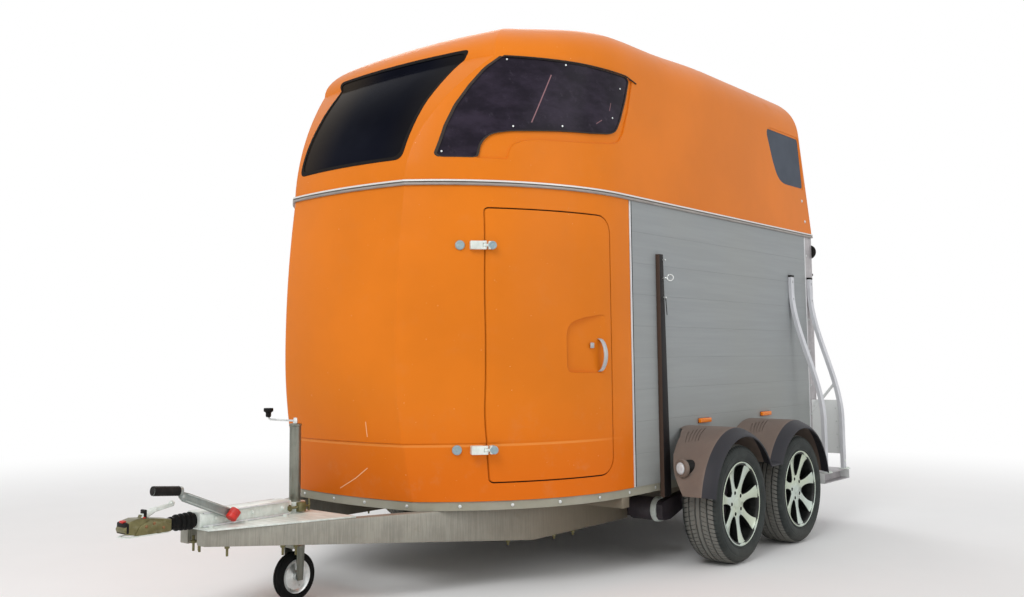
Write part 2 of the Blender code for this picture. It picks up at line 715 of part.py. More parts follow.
def corner_post():
    section = [(HALF_WIDTH - POST_WIDTH, POST_FRONT), (HALF_WIDTH, POST_FRONT), (HALF_WIDTH, WALL_REAR),
               (HALF_WIDTH - 0.003, WALL_REAR + 0.004), (HALF_WIDTH - 0.003, POST_REAR),
               (RAMP_HALF + 0.014, POST_REAR), (RAMP_HALF + 0.014, WALL_REAR), (HALF_WIDTH - POST_WIDTH, WALL_REAR)]
    post = prism(section, "z", WALL_LOW, BELT_UNDER)
    y = RAIL_STATIONS["rear"] + GUARD_RAIL_DEPTH / 2
    low = FLOOR_TOP + 0.004
    heights = [low] + [z for z in RAIL_HEIGHTS if low < z < GUSSET_TOP] + [GUSSET_TOP]
    plate = [(HALF_WIDTH - 0.010, low)] + [(rail_face(z) - TOUCH * 2, z) for z in heights]
    plate.append((HALF_WIDTH - 0.010, GUSSET_TOP))
    z1 = GUSSET_TOP + 0.105
    brace = [(HALF_WIDTH - 0.010, GUSSET_TOP - 0.095), (rail_face(z1 - 0.018) - TOUCH * 2, z1 - 0.018),
             (rail_face(z1) - TOUCH * 2, z1), (HALF_WIDTH - 0.010, GUSSET_TOP - 0.070)]
    return fuse(post, prism(plate, "y", y - 0.002, y + 0.002), prism(brace, "y", y - 0.003, y + 0.003))


SIDE_POST = [(-0.290, 0.330), (-0.222, 0.330), (-0.254, 1.515), (-0.290, 1.515)]
SIDE_POST_OUT = 0.023


def side_post():
    return prism(SIDE_POST, "x", HALF_WIDTH + TOUCH, HALF_WIDTH + SIDE_POST_OUT)


def belt_rail():
    web, lip = RAIL_WEB / 2 - TOUCH, RAIL_LIP / 2
    profile = [(-0.018, -web), (TOUCH, -web), (TOUCH, -lip), (RAIL_OUT, -lip * 0.7), (RAIL_OUT, lip * 0.7),
               (TOUCH, lip), (TOUCH, web), (-0.018, web)]
    paths = [whole(plan(CREASE_X, CREASE_Y, FRONT_CROWN, HALF_WIDTH, SIDE_START, POST_REAR, -o)) for o, dz in profile]
    rings = [[(*path[i], BELT_Z + dz) for path, (o, dz) in zip(paths, profile)] for i in range(len(paths[0]))]
    return loft(rings)


# Floor pan and chassis
def floor_pan():
    outline = [nose_point(x, y, WALL_LOW)[:2]
               for x, y in plan(CREASE_X, CREASE_Y, FRONT_CROWN, HALF_WIDTH, SIDE_START, WALL_REAR, 0.004)]
    return prism(whole(outline), "z", FLOOR_UNDER, FLOOR_TOP)


def beam():
    top = FLOOR_UNDER - TOUCH
    half = BEAM_WIDTH / 2
    rings = []
    for x, y, low in ((BEAM_NOSE_X, BEAM_NOSE_Y, BEAM_NOSE_LOW), (BEAM_X, BEAM_KINK, BEAM_LOW),
                      (BEAM_X, PLATFORM_FRONT - TOUCH, BEAM_LOW)):
        rings.append([(x - half, y, low), (x + half, y, low), (x + half, y, top), (x - half, y, top)])
    made = loft(rings)
    made = fuse(made, box(BEAM_X + half - 0.01, HALF_WIDTH - 0.002, STUB_Y - 0.03, STUB_Y + 0.03, top - 0.048, top))
    for y in AXLES:
        made = cut(made, box(BEAM_X - 0.1, BEAM_X + 0.1, y - TUBE_TRAIL - TUBE_SIDE / 2 - TOUCH,
                             y - TUBE_TRAIL + TUBE_SIDE / 2 + TOUCH, BEAM_LOW - 0.1, TUBE_Z + TUBE_SIDE / 2 + TOUCH))
    return made


def cross_member(y):
    reach = BEAM_X - BEAM_WIDTH / 2 - TOUCH
    return box(-reach, reach, y - 0.03, y + 0.03, FLOOR_UNDER - 0.070, FLOOR_UNDER - TOUCH)


RAMP_AXIS_Y = HOOD_REAR + 0.016
RAMP_AXIS_Z = 0.352
RAMP_HINGES = (0.226 - RAMP_HALF, RAMP_HALF - 0.226)


def platform():
    plate = box(-PLATFORM_HALF, PLATFORM_HALF, PLATFORM_FRONT, PLATFORM_REAR, PLATFORM_Z0, PLATFORM_Z1)
    for x in (-BEAM_X, BEAM_X):
        plate = fuse(plate, box(x - 0.05, x + 0.05, PLATFORM_FRONT, PLATFORM_REAR - 0.04, PLATFORM_Z1 - 0.01,
                                FLOOR_UNDER - TOUCH))
    ear = [(RAMP_AXIS_Y + 0.010, RAMP_AXIS_Z), (RAMP_AXIS_Y + 0.005, RAMP_AXIS_Z + 0.009),
           (RAMP_AXIS_Y - 0.005, RAMP_AXIS_Z + 0.009), (1.650, 0.330), (1.630, PLATFORM_Z1 - 0.004),
           (PLATFORM_REAR - 0.004, PLATFORM_Z0 + 0.02), (RAMP_AXIS_Y + 0.002, RAMP_AXIS_Z - 0.011)]
    for x in RAMP_HINGES:
        plate = fuse(plate, prism(ear, "x", x - 0.034, x - 0.022), prism(ear, "x", x + 0.022, x + 0.034),
                     rod("x", RAMP_AXIS_Y, RAMP_AXIS_Z, RAMP_PIN, x - 0.030, x + 0.030, 16))
    return plate


def ramp():
    """Rear ramp: a flat leaf on four knuckles, with cleats across its inner face."""
    front = WALL_REAR + 0.008
    leaf = box(-RAMP_HALF, RAMP_HALF, front, front + RAMP_THICK, RAMP_LOW, BELT_Z - 0.008)
    strap = [(RAMP_AXIS_Y - 0.026, 0.400), (RAMP_AXIS_Y - 0.026, 0.372), (RAMP_AXIS_Y - 0.008, RAMP_AXIS_Z - 0.013),
             (RAMP_AXIS_Y + 0.008, RAMP_AXIS_Z - 0.013), (RAMP_AXIS_Y + 0.016, RAMP_AXIS_Z),
             (RAMP_AXIS_Y + 0.012, RAMP_AXIS_Z + 0.012), (RAMP_AXIS_Y - 0.004, 0.440), (RAMP_AXIS_Y - 0.026, 0.440)]
    for x in RAMP_HINGES:
        leaf = fuse(leaf, prism(strap, "x", x - 0.020, x + 0.020))
        leaf = cut(leaf, rod("x", RAMP_AXIS_Y, RAMP_AXIS_Z, bore_radius(RAMP_PIN, 16), x - 0.05, x + 0.05, 16))
    return leaf


# Axles with trailing arms, drums and stub axles
AXLES = (0.0, AXLE_SPACING)


def axle(y):
    half, tube = HALF_WIDTH - 0.064, TUBE_SIDE / 2
    made = box(-half, half, y - TUBE_TRAIL - tube, y - TUBE_TRAIL + tube, TUBE_Z - tube, TUBE_Z + tube)
    arm = [(y - TUBE_TRAIL - 0.048, TUBE_Z - 0.030), (y - TUBE_TRAIL - 0.030, TUBE_Z - 0.048),
           (y - TUBE_TRAIL + 0.030, TUBE_Z - 0.048), (y + 0.030, TYRE_RADIUS - 0.036), (y + 0.036, TYRE_RADIUS + 0.010),
           (y + 0.010, TYRE_RADIUS + 0.036), (y - TUBE_TRAIL - 0.030, TUBE_Z + 0.046),
           (y - TUBE_TRAIL - 0.048, TUBE_Z + 0.028)]
    for side in (1, -1):
        x0, x1 = sorted((side * (half - 0.004), side * (half + ARM_THICK)))
        made = fuse(made, prism(arm, "x", x0, x1))
        for radius, a, b, steps in ((0.030, half + 0.01, WHEEL_X - 0.15, 12),
                                    (DRUM_RADIUS, WHEEL_X - 0.165, WHEEL_X - 0.04, 20),
                                    (STUB_RADIUS, WHEEL_X - 0.06, WHEEL_X + 0.052, 16)):
            x0, x1 = sorted((side * a, side * b))
            made = fuse(made, rod("x", y, TYRE_RADIUS, radius, x0, x1, steps))
    return made


WHEEL_STEPS = 24


def tyre(y):
    w, r0 = TYRE_WIDTH / 2, RIM_RADIUS - 0.010 + TOUCH
    bead = w - 0.0145
    profile = [(r0, -bead), (RIM_RADIUS + 0.004, -bead), (0.240, -w), (0.272, -w + 0.008),
               (TYRE_RADIUS, -w + 0.030), (TYRE_RADIUS, w - 0.030), (0.272, w - 0.008), (0.240, w),
               (RIM_RADIUS + 0.004, bead), (r0, bead)]
    return turned(profile, (WHEEL_X, y, TYRE_RADIUS), "x", WHEEL_STEPS)


def rim(y):
    """Seven-spoked alloy rim: a barrel with two flanges, a hub and spokes."""
    w, r = TYRE_WIDTH / 2 - 0.0145 + TOUCH, RIM_RADIUS
    profile = [(r, -w - 0.006), (r, -w), (r - 0.010, -w), (r - 0.010, w), (r, w), (r + 0.0025, w + 0.006),
               (r - 0.016, w - 0.002), (r - 0.018, -w + 0.004)]
    made = turned(profile, (WHEEL_X, y, TYRE_RADIUS), "x", WHEEL_STEPS)
    hub = rod("x", y, TYRE_RADIUS, HUB_RADIUS, WHEEL_X + 0.028, WHEEL_X + 0.066, 14)
    spoke = [(-0.026, -0.045), (0.026, -0.045), (0.0185, -0.10), (0.026, -r + 0.0155),
             (-0.026, -r + 0.0155), (-0.0185, -0.10)]
    for i in range(7):
        a = 2 * pi * i / 7
        outline = [(y + u * cos(a) - v * sin(a), TYRE_RADIUS + u * sin(a) + v * cos(a)) for u, v in spoke]
        hub = fuse(hub, prism(outline, "x", WHEEL_X + 0.036, WHEEL_X + 0.074 - 0.012))
    made = fuse(made, hub)
    bore = rod("x", y, TYRE_RADIUS, bore_radius(STUB_RADIUS, 16), WHEEL_X - 0.1, WHEEL_X + 0.056, 16)
    return cut(made, bore)


# Twin-arch mudguards
def guard_path(radius, centre_z):
    points = []
    low = asin((GUARD_LOW - centre_z) / GUARD_RADIUS)
    valley = asin((0.465 - centre_z) / GUARD_RADIUS)
    for i in range(11):
        a = pi - low - (pi - low - valley) * i / 10
        points.append((AXLES[0] + radius * cos(a), centre_z + radius * sin(a)))
    for i in range(11):
        a = pi - valley - (pi - valley - low) * i / 10
        points.append((AXLES[1] + radius * cos(a), centre_z + radius * sin(a)))
    return points


def mudguard():
    stations = [(HALF_WIDTH + TOUCH, 0.0), (GUARD_OUT - 0.075, 0.0), (GUARD_OUT - 0.035, 0.003), (GUARD_OUT - 0.012, 0.012),
                (GUARD_OUT, 0.030)]
    outer = [[(x, y, z) for y, z in guard_path(GUARD_RADIUS - drop, TYRE_RADIUS)] for x, drop in stations]
    inner = [[(min(x, GUARD_OUT - GUARD_THICK), y, z)
              for y, z in guard_path(GUARD_RADIUS - max(drop, 0.001) - GUARD_THICK, TYRE_RADIUS)] for x, drop in stations]
    notch = prism(grown(SIDE_POST, TOUCH), "x", HALF_WIDTH - 0.01, HALF_WIDTH + SIDE_POST_OUT + TOUCH)
    return cut(skin(outer, inner), notch)


def front_lamp():
    x, z = GUARD_OUT - 0.160, 0.480
    seat = TYRE_RADIUS
    y = AXLES[0] - sqrt(GUARD_RADIUS ** 2 - (z - seat) ** 2)
    lamp = rod("y", x, z, 0.036, y - 0.020, y + 0.060, 20)
    lamp = fuse(lamp, rod("y", x, z, 0.030, y - 0.045, y - 0.010, 20))
    guard = rod("x", AXLES[0], seat, GUARD_RADIUS + TOUCH * 3, x - 0.1, x + 0.1, 96)
    return cut(lamp, guard)


def marker(y):
    def make():
        x = HALF_WIDTH + TOUCH
        outline = rounded(y - 0.060, y + 0.060, 0.660, 0.692, 0.010, 2)
        inner = grown(outline, -0.004)
        rings = [[(x, u, v) for u, v in outline], [(x + 0.010, u, v) for u, v in outline], [(x + 0.018, u, v) for u, v in inner]]
        return loft(rings)
    return make


def post_lamp():
    return rod("y", HALF_WIDTH - 0.022, 1.673, 0.046, POST_REAR + TOUCH, POST_REAR + 0.026, 24)


def tail_lamp():
    outline = rounded(0.74, 0.98, PLATFORM_Z0 + 0.004, PLATFORM_Z1 - 0.004, 0.010, 2)
    return prism(outline, "y", PLATFORM_REAR + TOUCH, PLATFORM_REAR + 0.028)


# Overrun housing on the drawbar plate, with the jack's clamp ring and the brake lever's pin
def housing():
    plate_x = 0.100
    wide = BEAM_X / 2
    plate = prism([(-plate_x, HOUSING_FRONT), (plate_x, HOUSING_FRONT), (wide, JACK_Y + 0.075), (-wide, JACK_Y + 0.075)],
                  "z", FLOOR_UNDER, FLOOR_UNDER + 0.007)
    body = prism(rounded(-0.045, 0.045, FLOOR_UNDER + 0.004, HITCH_Z + 0.032, 0.012, 2), "y", HOUSING_FRONT, HOUSING_REAR)
    clamp = rod("z", 0, JACK_Y, 0.044, FLOOR_UNDER - 0.012, FLOOR_UNDER + 0.050, JACK_STEPS)
    y, z = LEVER_Y, LEVER_Z
    pin = rod("x", y, z, 0.008, 0.040, 0.072, 16)
    cap = rod("x", y, z, 0.015, 0.0685, 0.076, 16)
    made = fuse(plate, body, clamp, pin, cap)
    return cut(made, rod("z", 0, JACK_Y, JACK_RADIUS + TOUCH, 0.2, 0.6, JACK_STEPS))


LEVER_Z = HITCH_Z + 0.012


def gaiter():
    """Rubber bellows round the draw tube."""
    rings = []
    front, rear, folds = GAITER_FRONT, HOUSING_FRONT - TOUCH, 4
    for i in range(2 * folds + 1):
        y = front + (rear - front) * i / (2 * folds)
        radius = (0.029 if i % 2 else 0.022) + 0.006 * i / (2 * folds)
        rings.append([(u, y, v) for u, v in circle(0, HITCH_Z, radius, 16)])
    return loft(rings)


def coupling():
    """Ball coupling head, open below for the ball, with its release lever."""
    back = TIP_Y + HEAD_LENGTH - TOUCH
    side = [(back, HITCH_Z - 0.022), (back - 0.058, HITCH_Z - 0.026), (TIP_Y + 0.056, HITCH_Z - 0.022),
            (TIP_Y + 0.006, HITCH_Z - 0.012), (TIP_Y, HITCH_Z + 0.004), (TIP_Y + 0.012, HITCH_Z + 0.030),
            (TIP_Y + 0.050, HITCH_Z + 0.039), (back - 0.078, HITCH_Z + 0.034), (back, HITCH_Z + 0.022)]
    head = prism(side, "x", -0.032, 0.032)
    ball = bmesh.new()
    bmesh.ops.create_uvsphere(ball, u_segments=20, v_segments=10, radius=0.0255)
    ball.transform(Matrix.Translation((0, BALL_Y, HITCH_Z - 0.004)))
    head = cut(head, outward(ball), rod("z", 0, BALL_Y, 0.0250, HITCH_Z - 0.1, HITCH_Z - 0.006, 20))
    lever = [(TIP_Y + 0.071, HITCH_Z + 0.030), (TIP_Y + 0.096, HITCH_Z + 0.030), (TIP_Y + 0.136, HITCH_Z + 0.052),
             (TIP_Y + 0.216, HITCH_Z + 0.066), (TIP_Y + 0.220, HITCH_Z + 0.078), (TIP_Y + 0.126, HITCH_Z + 0.066),
             (TIP_Y + 0.081, HITCH_Z + 0.050)]
    return fuse(head, prism(lever, "x", -0.011, 0.011))


BALL_Y = TIP_Y + 0.034


def brake_lever():
    """Straight arm with a bent end that carries a level grip."""
    y, z = LEVER_Y, LEVER_Z
    far = Vector((-0.235, 0.098))
    side = Vector((-far.y, far.x)).normalized()
    ends = [(0.0, 0.0195), (-0.018, 0.008), (-0.018, -0.008), (0.0, -0.0195), (0.225, -0.018), (0.262, -0.014),
            (0.255, 0.008), (0.235, 0.018)]
    way = far.normalized()
    plate = [tuple(Vector((y, z)) + way * a + side * n) for a, n in ends]
    arm = prism(plate, "x", 0.050, 0.062)
    grip = rod("y", 0, 0, 0.0175, 0, 0.125, 16)
    turn = Vector((0, 1, 0)).rotation_difference(Vector((0, -0.124, 0.012)).normalized()).to_matrix().to_4x4()
    grip.transform(Matrix.Translation((0.056, y - 0.228, z + 0.113)) @ turn)
    made = fuse(arm, grip)
    return cut(made, rod("x", y, z, bore_radius(0.008, 16), 0.0, 0.1, 16))


# Jack: outer tube with its crank, sliding inner tube with fork, and the jockey wheel
def jack_tube():
    tube = turned([(JACK_BORE, JACK_LOW), (JACK_RADIUS, JACK_LOW), (JACK_RADIUS, JACK_TOP - 0.02), (JACK_BORE, JACK_TOP - 0.02)],
                  (0, JACK_Y, 0), "z", JACK_STEPS)
    cap = rod("z", 0, JACK_Y, 0.031, JACK_TOP - 0.040, JACK_TOP, JACK_STEPS)
    arm = rod("x", JACK_Y, JACK_TOP + 0.010, 0.006, -CRANK_REACH - 0.006, 0.012, 10)
    stem = rod("z", 0, JACK_Y, 0.009, JACK_TOP - 0.006, JACK_TOP + 0.024, 12)
    post = rod("z", -CRANK_REACH, JACK_Y, 0.012, JACK_TOP + 0.002, JACK_TOP + 0.045, 12)
    knob = rod("z", -CRANK_REACH, JACK_Y, 0.021, JACK_TOP + 0.038, JACK_TOP + 0.062, 14)
    return fuse(tube, cap, stem, arm, post, knob)


FORK_TOP = 2 * JOCKEY_RADIUS + 0.030


def jack_inner():
    tube = rod("z", 0, JACK_Y, JACK_BORE - RUN, FORK_TOP - 0.004, 0.560, JACK_STEPS)
    crown = box(-0.042, 0.042, JACK_Y - 0.022, JACK_Y + 0.022, FORK_TOP - 0.014, FORK_TOP)
    legs = [prism([(JACK_Y - 0.022, FORK_TOP - 0.004), (JACK_Y - 0.014, JOCKEY_RADIUS - 0.014),
                   (JACK_Y + 0.014, JOCKEY_RADIUS - 0.014), (JACK_Y + 0.022, FORK_TOP - 0.004)], "x", a, a + 0.006)
            for a in (-0.042, 0.036)]
    pin = rod("x", JACK_Y, JOCKEY_RADIUS, 0.006, -0.040, 0.040, 16)
    return fuse(tube, crown, *legs, pin)


def jockey_wheel():
    w, r = JOCKEY_WIDTH / 2, JOCKEY_RADIUS
    inner = bore_radius(0.006, 16)
    profile = [(inner, -w - 0.004), (0.018, -w - 0.004), (r - 0.030, -0.010), (r - 0.024, -w),
               (r, -w + 0.010), (r, w - 0.010), (r - 0.024, w),
               (r - 0.030, 0.010), (0.018, w + 0.004), (inner, w + 0.004)]
    return turned(profile, (0, JACK_Y, JOCKEY_RADIUS), "x", 20)


# Assembly
place("nose_shell", nose(), "orange")
place("hood_shell", hood(), "orange")
place("belt_rail", belt_rail(), "aluminium")
place("windscreen", glass(windscreen(-TOUCH)), "glass")
both_sides("side_window", lambda: glass(side_prism(SIDE_LIGHT, -TOUCH)), "glass")
both_sides("rear_window", lambda: glass(side_prism(REAR_LIGHT, -TOUCH)), "glass")
both_sides("side_wall", side_wall, "plank")
both_sides("corner_post", corner_post, "galvanised")
both_sides("side_post", side_post, "black")
for label, station in RAIL_STATIONS.items():
    both_sides(f"guard_rail_{label}", lambda: guard_rail(station), "aluminium")
place("floor_pan", floor_pan(), "galvanised")
both_sides("drawbar_beam", beam, "galvanised")
place("cross_member_front", cross_member(BEAM_KINK + 0.100), "galvanised")
place("cross_member_rear", cross_member(PLATFORM_FRONT - 0.075), "galvanised")
place("rear_platform", platform(), "galvanised")
place("overrun_housing", housing(), "galvanised")
place("coupling_gaiter", gaiter(), "rubber")
place("coupling_head", coupling(), "galvanised")
place("brake_lever", brake_lever(), "black", (0.056, LEVER_Y, LEVER_Z))
place("jack_tube", jack_tube(), "galvanised")
place("jack_inner_tube", jack_inner(), "galvanised", (0, JACK_Y, FORK_TOP))
place("jockey_wheel", jockey_wheel(), "rubber", (0, JACK_Y, JOCKEY_RADIUS))
place("groom_door", door(), "orange", (DOOR_AXIS.x, DOOR_AXIS.y, DOOR_LOW))
place("door_handle", handle(), "grey")
place("rear_ramp", ramp(), "plank", (0, RAMP_AXIS_Y, RAMP_AXIS_Z))
place("rear_flap", flap(), "orange", (0, FLAP_AXIS_Y, FLAP_AXIS_Z))
both_sides("mudguard", mudguard, "guard")
both_sides("front_lamp", front_lamp, "white")
both_sides("post_lamp", post_lamp, "red")
both_sides("tail_lamp", tail_lamp, "red")
for label, station in (("front", 0.165), ("rear", 0.905)):
    both_sides(f"marker_lamp_{label}", marker(station), "amber")
for label, station in zip(("front", "rear"), AXLES):
    place(f"axle_{label}", axle(station), "galvanised")
    both_sides(f"tyre_{label}", lambda: tyre(station), "rubber", (WHEEL_X, station, TYRE_RADIUS))
    both_sides(f"rim_{label}", lambda: rim(station), "alloy", (WHEEL_X, station, TYRE_RADIUS))
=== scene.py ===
"""Looks of a two-horse trailer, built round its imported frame.

Stations are lengths along the trailer from the front axle; AXLE_Y moves them to the frame's Y.
"""

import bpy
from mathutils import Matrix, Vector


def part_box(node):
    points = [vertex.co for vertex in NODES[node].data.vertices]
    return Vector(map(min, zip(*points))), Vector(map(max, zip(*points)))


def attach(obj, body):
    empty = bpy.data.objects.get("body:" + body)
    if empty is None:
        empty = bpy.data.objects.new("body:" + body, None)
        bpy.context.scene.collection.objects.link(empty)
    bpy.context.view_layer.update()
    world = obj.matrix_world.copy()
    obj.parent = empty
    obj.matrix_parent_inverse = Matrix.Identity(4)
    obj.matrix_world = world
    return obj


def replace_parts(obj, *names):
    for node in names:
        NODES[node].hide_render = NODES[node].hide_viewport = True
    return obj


bl_info = {
    "name": "Horse trailer",
    "version": (1, 0, 0),
    "blender": (4, 5, 0),
    "location": "3D View > Sidebar > Trailer",
    "description": "Builds the finished surfaces and fittings of a horse trailer",
    "category": "Object",
}

from math import asin, cos, hypot, pi, radians, sin

import bpy
from bpy.props import FloatProperty, FloatVectorProperty, PointerProperty
from mathutils import Matrix, Vector

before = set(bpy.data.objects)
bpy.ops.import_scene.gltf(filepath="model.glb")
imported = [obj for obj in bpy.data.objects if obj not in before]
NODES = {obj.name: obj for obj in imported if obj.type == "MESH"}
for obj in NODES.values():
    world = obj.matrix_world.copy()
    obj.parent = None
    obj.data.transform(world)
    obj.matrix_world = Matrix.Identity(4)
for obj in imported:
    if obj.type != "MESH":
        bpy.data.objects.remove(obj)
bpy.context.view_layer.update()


def middle(node):
    low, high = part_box(node)
    return (low + high) / 2


AXLE_Y = middle("tyre_front_left").y
AXLES = (AXLE_Y, middle("tyre_rear_left").y)
WHEEL_X = middle("tyre_front_left").x
WHEEL_Z = middle("tyre_front_left").z
HALF_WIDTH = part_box("side_post_left")[0].x - 0.0003
GUARD_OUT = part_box("mudguard_left")[1].x
GUARD_TOP = 0.37
JACK_Y = middle("jack_inner_tube").y
LEVER_Y = -2.21 + AXLE_Y
LEVER_Z = 0.405

# Shell shapes, in stations
BELT_Z = middle("belt_rail").z
RAIL_WEB = 0.02
RAIL_LIP = 0.032
RAIL_OUT = 0.01
BELT_UNDER = BELT_Z - RAIL_WEB / 2
BELT_OVER = BELT_Z + RAIL_WEB / 2
WALL_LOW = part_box("nose_shell")[0].z
EAVE_Z = 2.38
CROWN_RISE = 0.366
FRONT_CROWN_RISE = 0.333
CROWN_START = -0.132
CROWN_RUN = 0.679
SHELL = 0.025
CREASE_X = 0.365
CREASE_Y = -1.555
FRONT_CROWN = 0.035
SIDE_START = -0.6
TRIM_Y = -0.53
WALL_REAR = 1.64
HOOD_REAR = 1.69
POST_REAR = HOOD_REAR - 0.005
HOOD_RAKE = 0.2066
HOOD_CREASE_SPREAD = 0.215
HOOD_CREASE_LEAN = 0.365
HOOD_SIDE_ADVANCE = 0.12
HOOD_TUMBLEHOME = 0.012
NOSE_BULGE = 0.053
NOSE_BULGE_Z = 1.04
SWAGE_Z = 0.648
SWAGE_STEP = 0.006
CHIN_SLOPE = 0.23
GLASS = 0.006
GLASS_SET = 0.004
DOOR = (-1.335, -0.693, 0.474, 1.665)
DOOR_GAP = 0.006
REAR_OPEN_HALF = 0.7
REAR_OPEN_TOP = 2.54
SIDE_LIGHT = [
    (-1.165, 2.376), (-0.83, 2.374), (-0.51, 2.366), (-0.492, 2.35), (-0.527, 2.25), (-0.577, 2.144),
    (-0.614, 2.084), (-0.66, 2.062), (-0.8, 2.047), (-0.97, 2.036), (-1.195, 2.017), (-1.271, 2.0),
    (-1.313, 1.957), (-1.33, 1.893), (-1.345, 1.888), (-1.45, 1.888), (-1.463, 1.9), (-1.44, 1.963),
    (-1.414, 2.034), (-1.367, 2.129), (-1.301, 2.228), (-1.235, 2.313)]
REAR_LIGHT = [(1.072, 2.386), (1.531, 2.386), (1.544, 2.372), (1.582, 2.085), (1.57, 2.072), (1.313, 2.07),
              (1.25, 2.083), (1.2, 2.12), (1.153, 2.198)]
RECESS = [(-0.976, 0.965), (-0.978, 1.11), (-0.968, 1.145), (-0.94, 1.17), (-0.865, 1.19), (-0.738, 1.206),
          (-0.738, 0.938), (-0.95, 0.942), (-0.968, 0.948)]
RECESS_DEPTH = 0.015
HOOD_STEPS = 14
WINDOW_CORNER = 0.03
FRONT_SPAN = (-1.75 + AXLE_Y, -1.0 + AXLE_Y)
OUTSIDE = HALF_WIDTH + 0.15
TOUCH = 0.0003
PLANKS = 9
SPOKES = 7
STUDS = 5
AXLE_LEAD = 0.17
RAMP_FRONT = WALL_REAR + 0.008 + AXLE_Y
RAMP_THICK = 0.042
REBATE = [
    (-0.455, 2.362), (-0.505, 2.2), (-0.563, 2.07), (-0.6, 2.03), (-0.66, 2.014), (-0.8, 1.998),
    (-0.97, 1.987), (-1.09, 1.984), (-1.155, 1.972), (-1.195, 1.948), (-1.212, 1.915), (-1.216, 1.884),
    (-1.345, 1.884), (-1.36, 1.95), (-1.2, 2.1), (-0.6, 2.3), (-0.5, 2.364)]


# Looks: sums of sockets, and one method for every other node
class Term:
    """A socket of a look that can stand in sums."""

    def __init__(self, look, socket):
        self.look = look
        self.socket = socket

    def maths(self, operation, first, second=0.0):
        return self.look.node("ShaderNodeMath", {"operation": operation}, {0: first, 1: second})

    def __add__(self, other):
        return self.maths("ADD", self, other)

    def __radd__(self, other):
        return self.maths("ADD", other, self)

    def __sub__(self, other):
        return self.maths("SUBTRACT", self, other)

    def __rsub__(self, other):
        return self.maths("SUBTRACT", other, self)

    def __mul__(self, other):
        return self.maths("MULTIPLY", self, other)

    def __rmul__(self, other):
        return self.maths("MULTIPLY", other, self)

    def __truediv__(self, other):
        return self.maths("DIVIDE", self, other)

    def __abs__(self):
        return self.maths("ABSOLUTE", self)

    def root(self):
        return self.maths("SQRT", self)

    def least(self, other):
        return self.maths("MINIMUM", self, other)

    def most(self, other):
        return self.maths("MAXIMUM", self, other)

    def wrapped(self, length):
        return self.maths("FRACT", self / length)


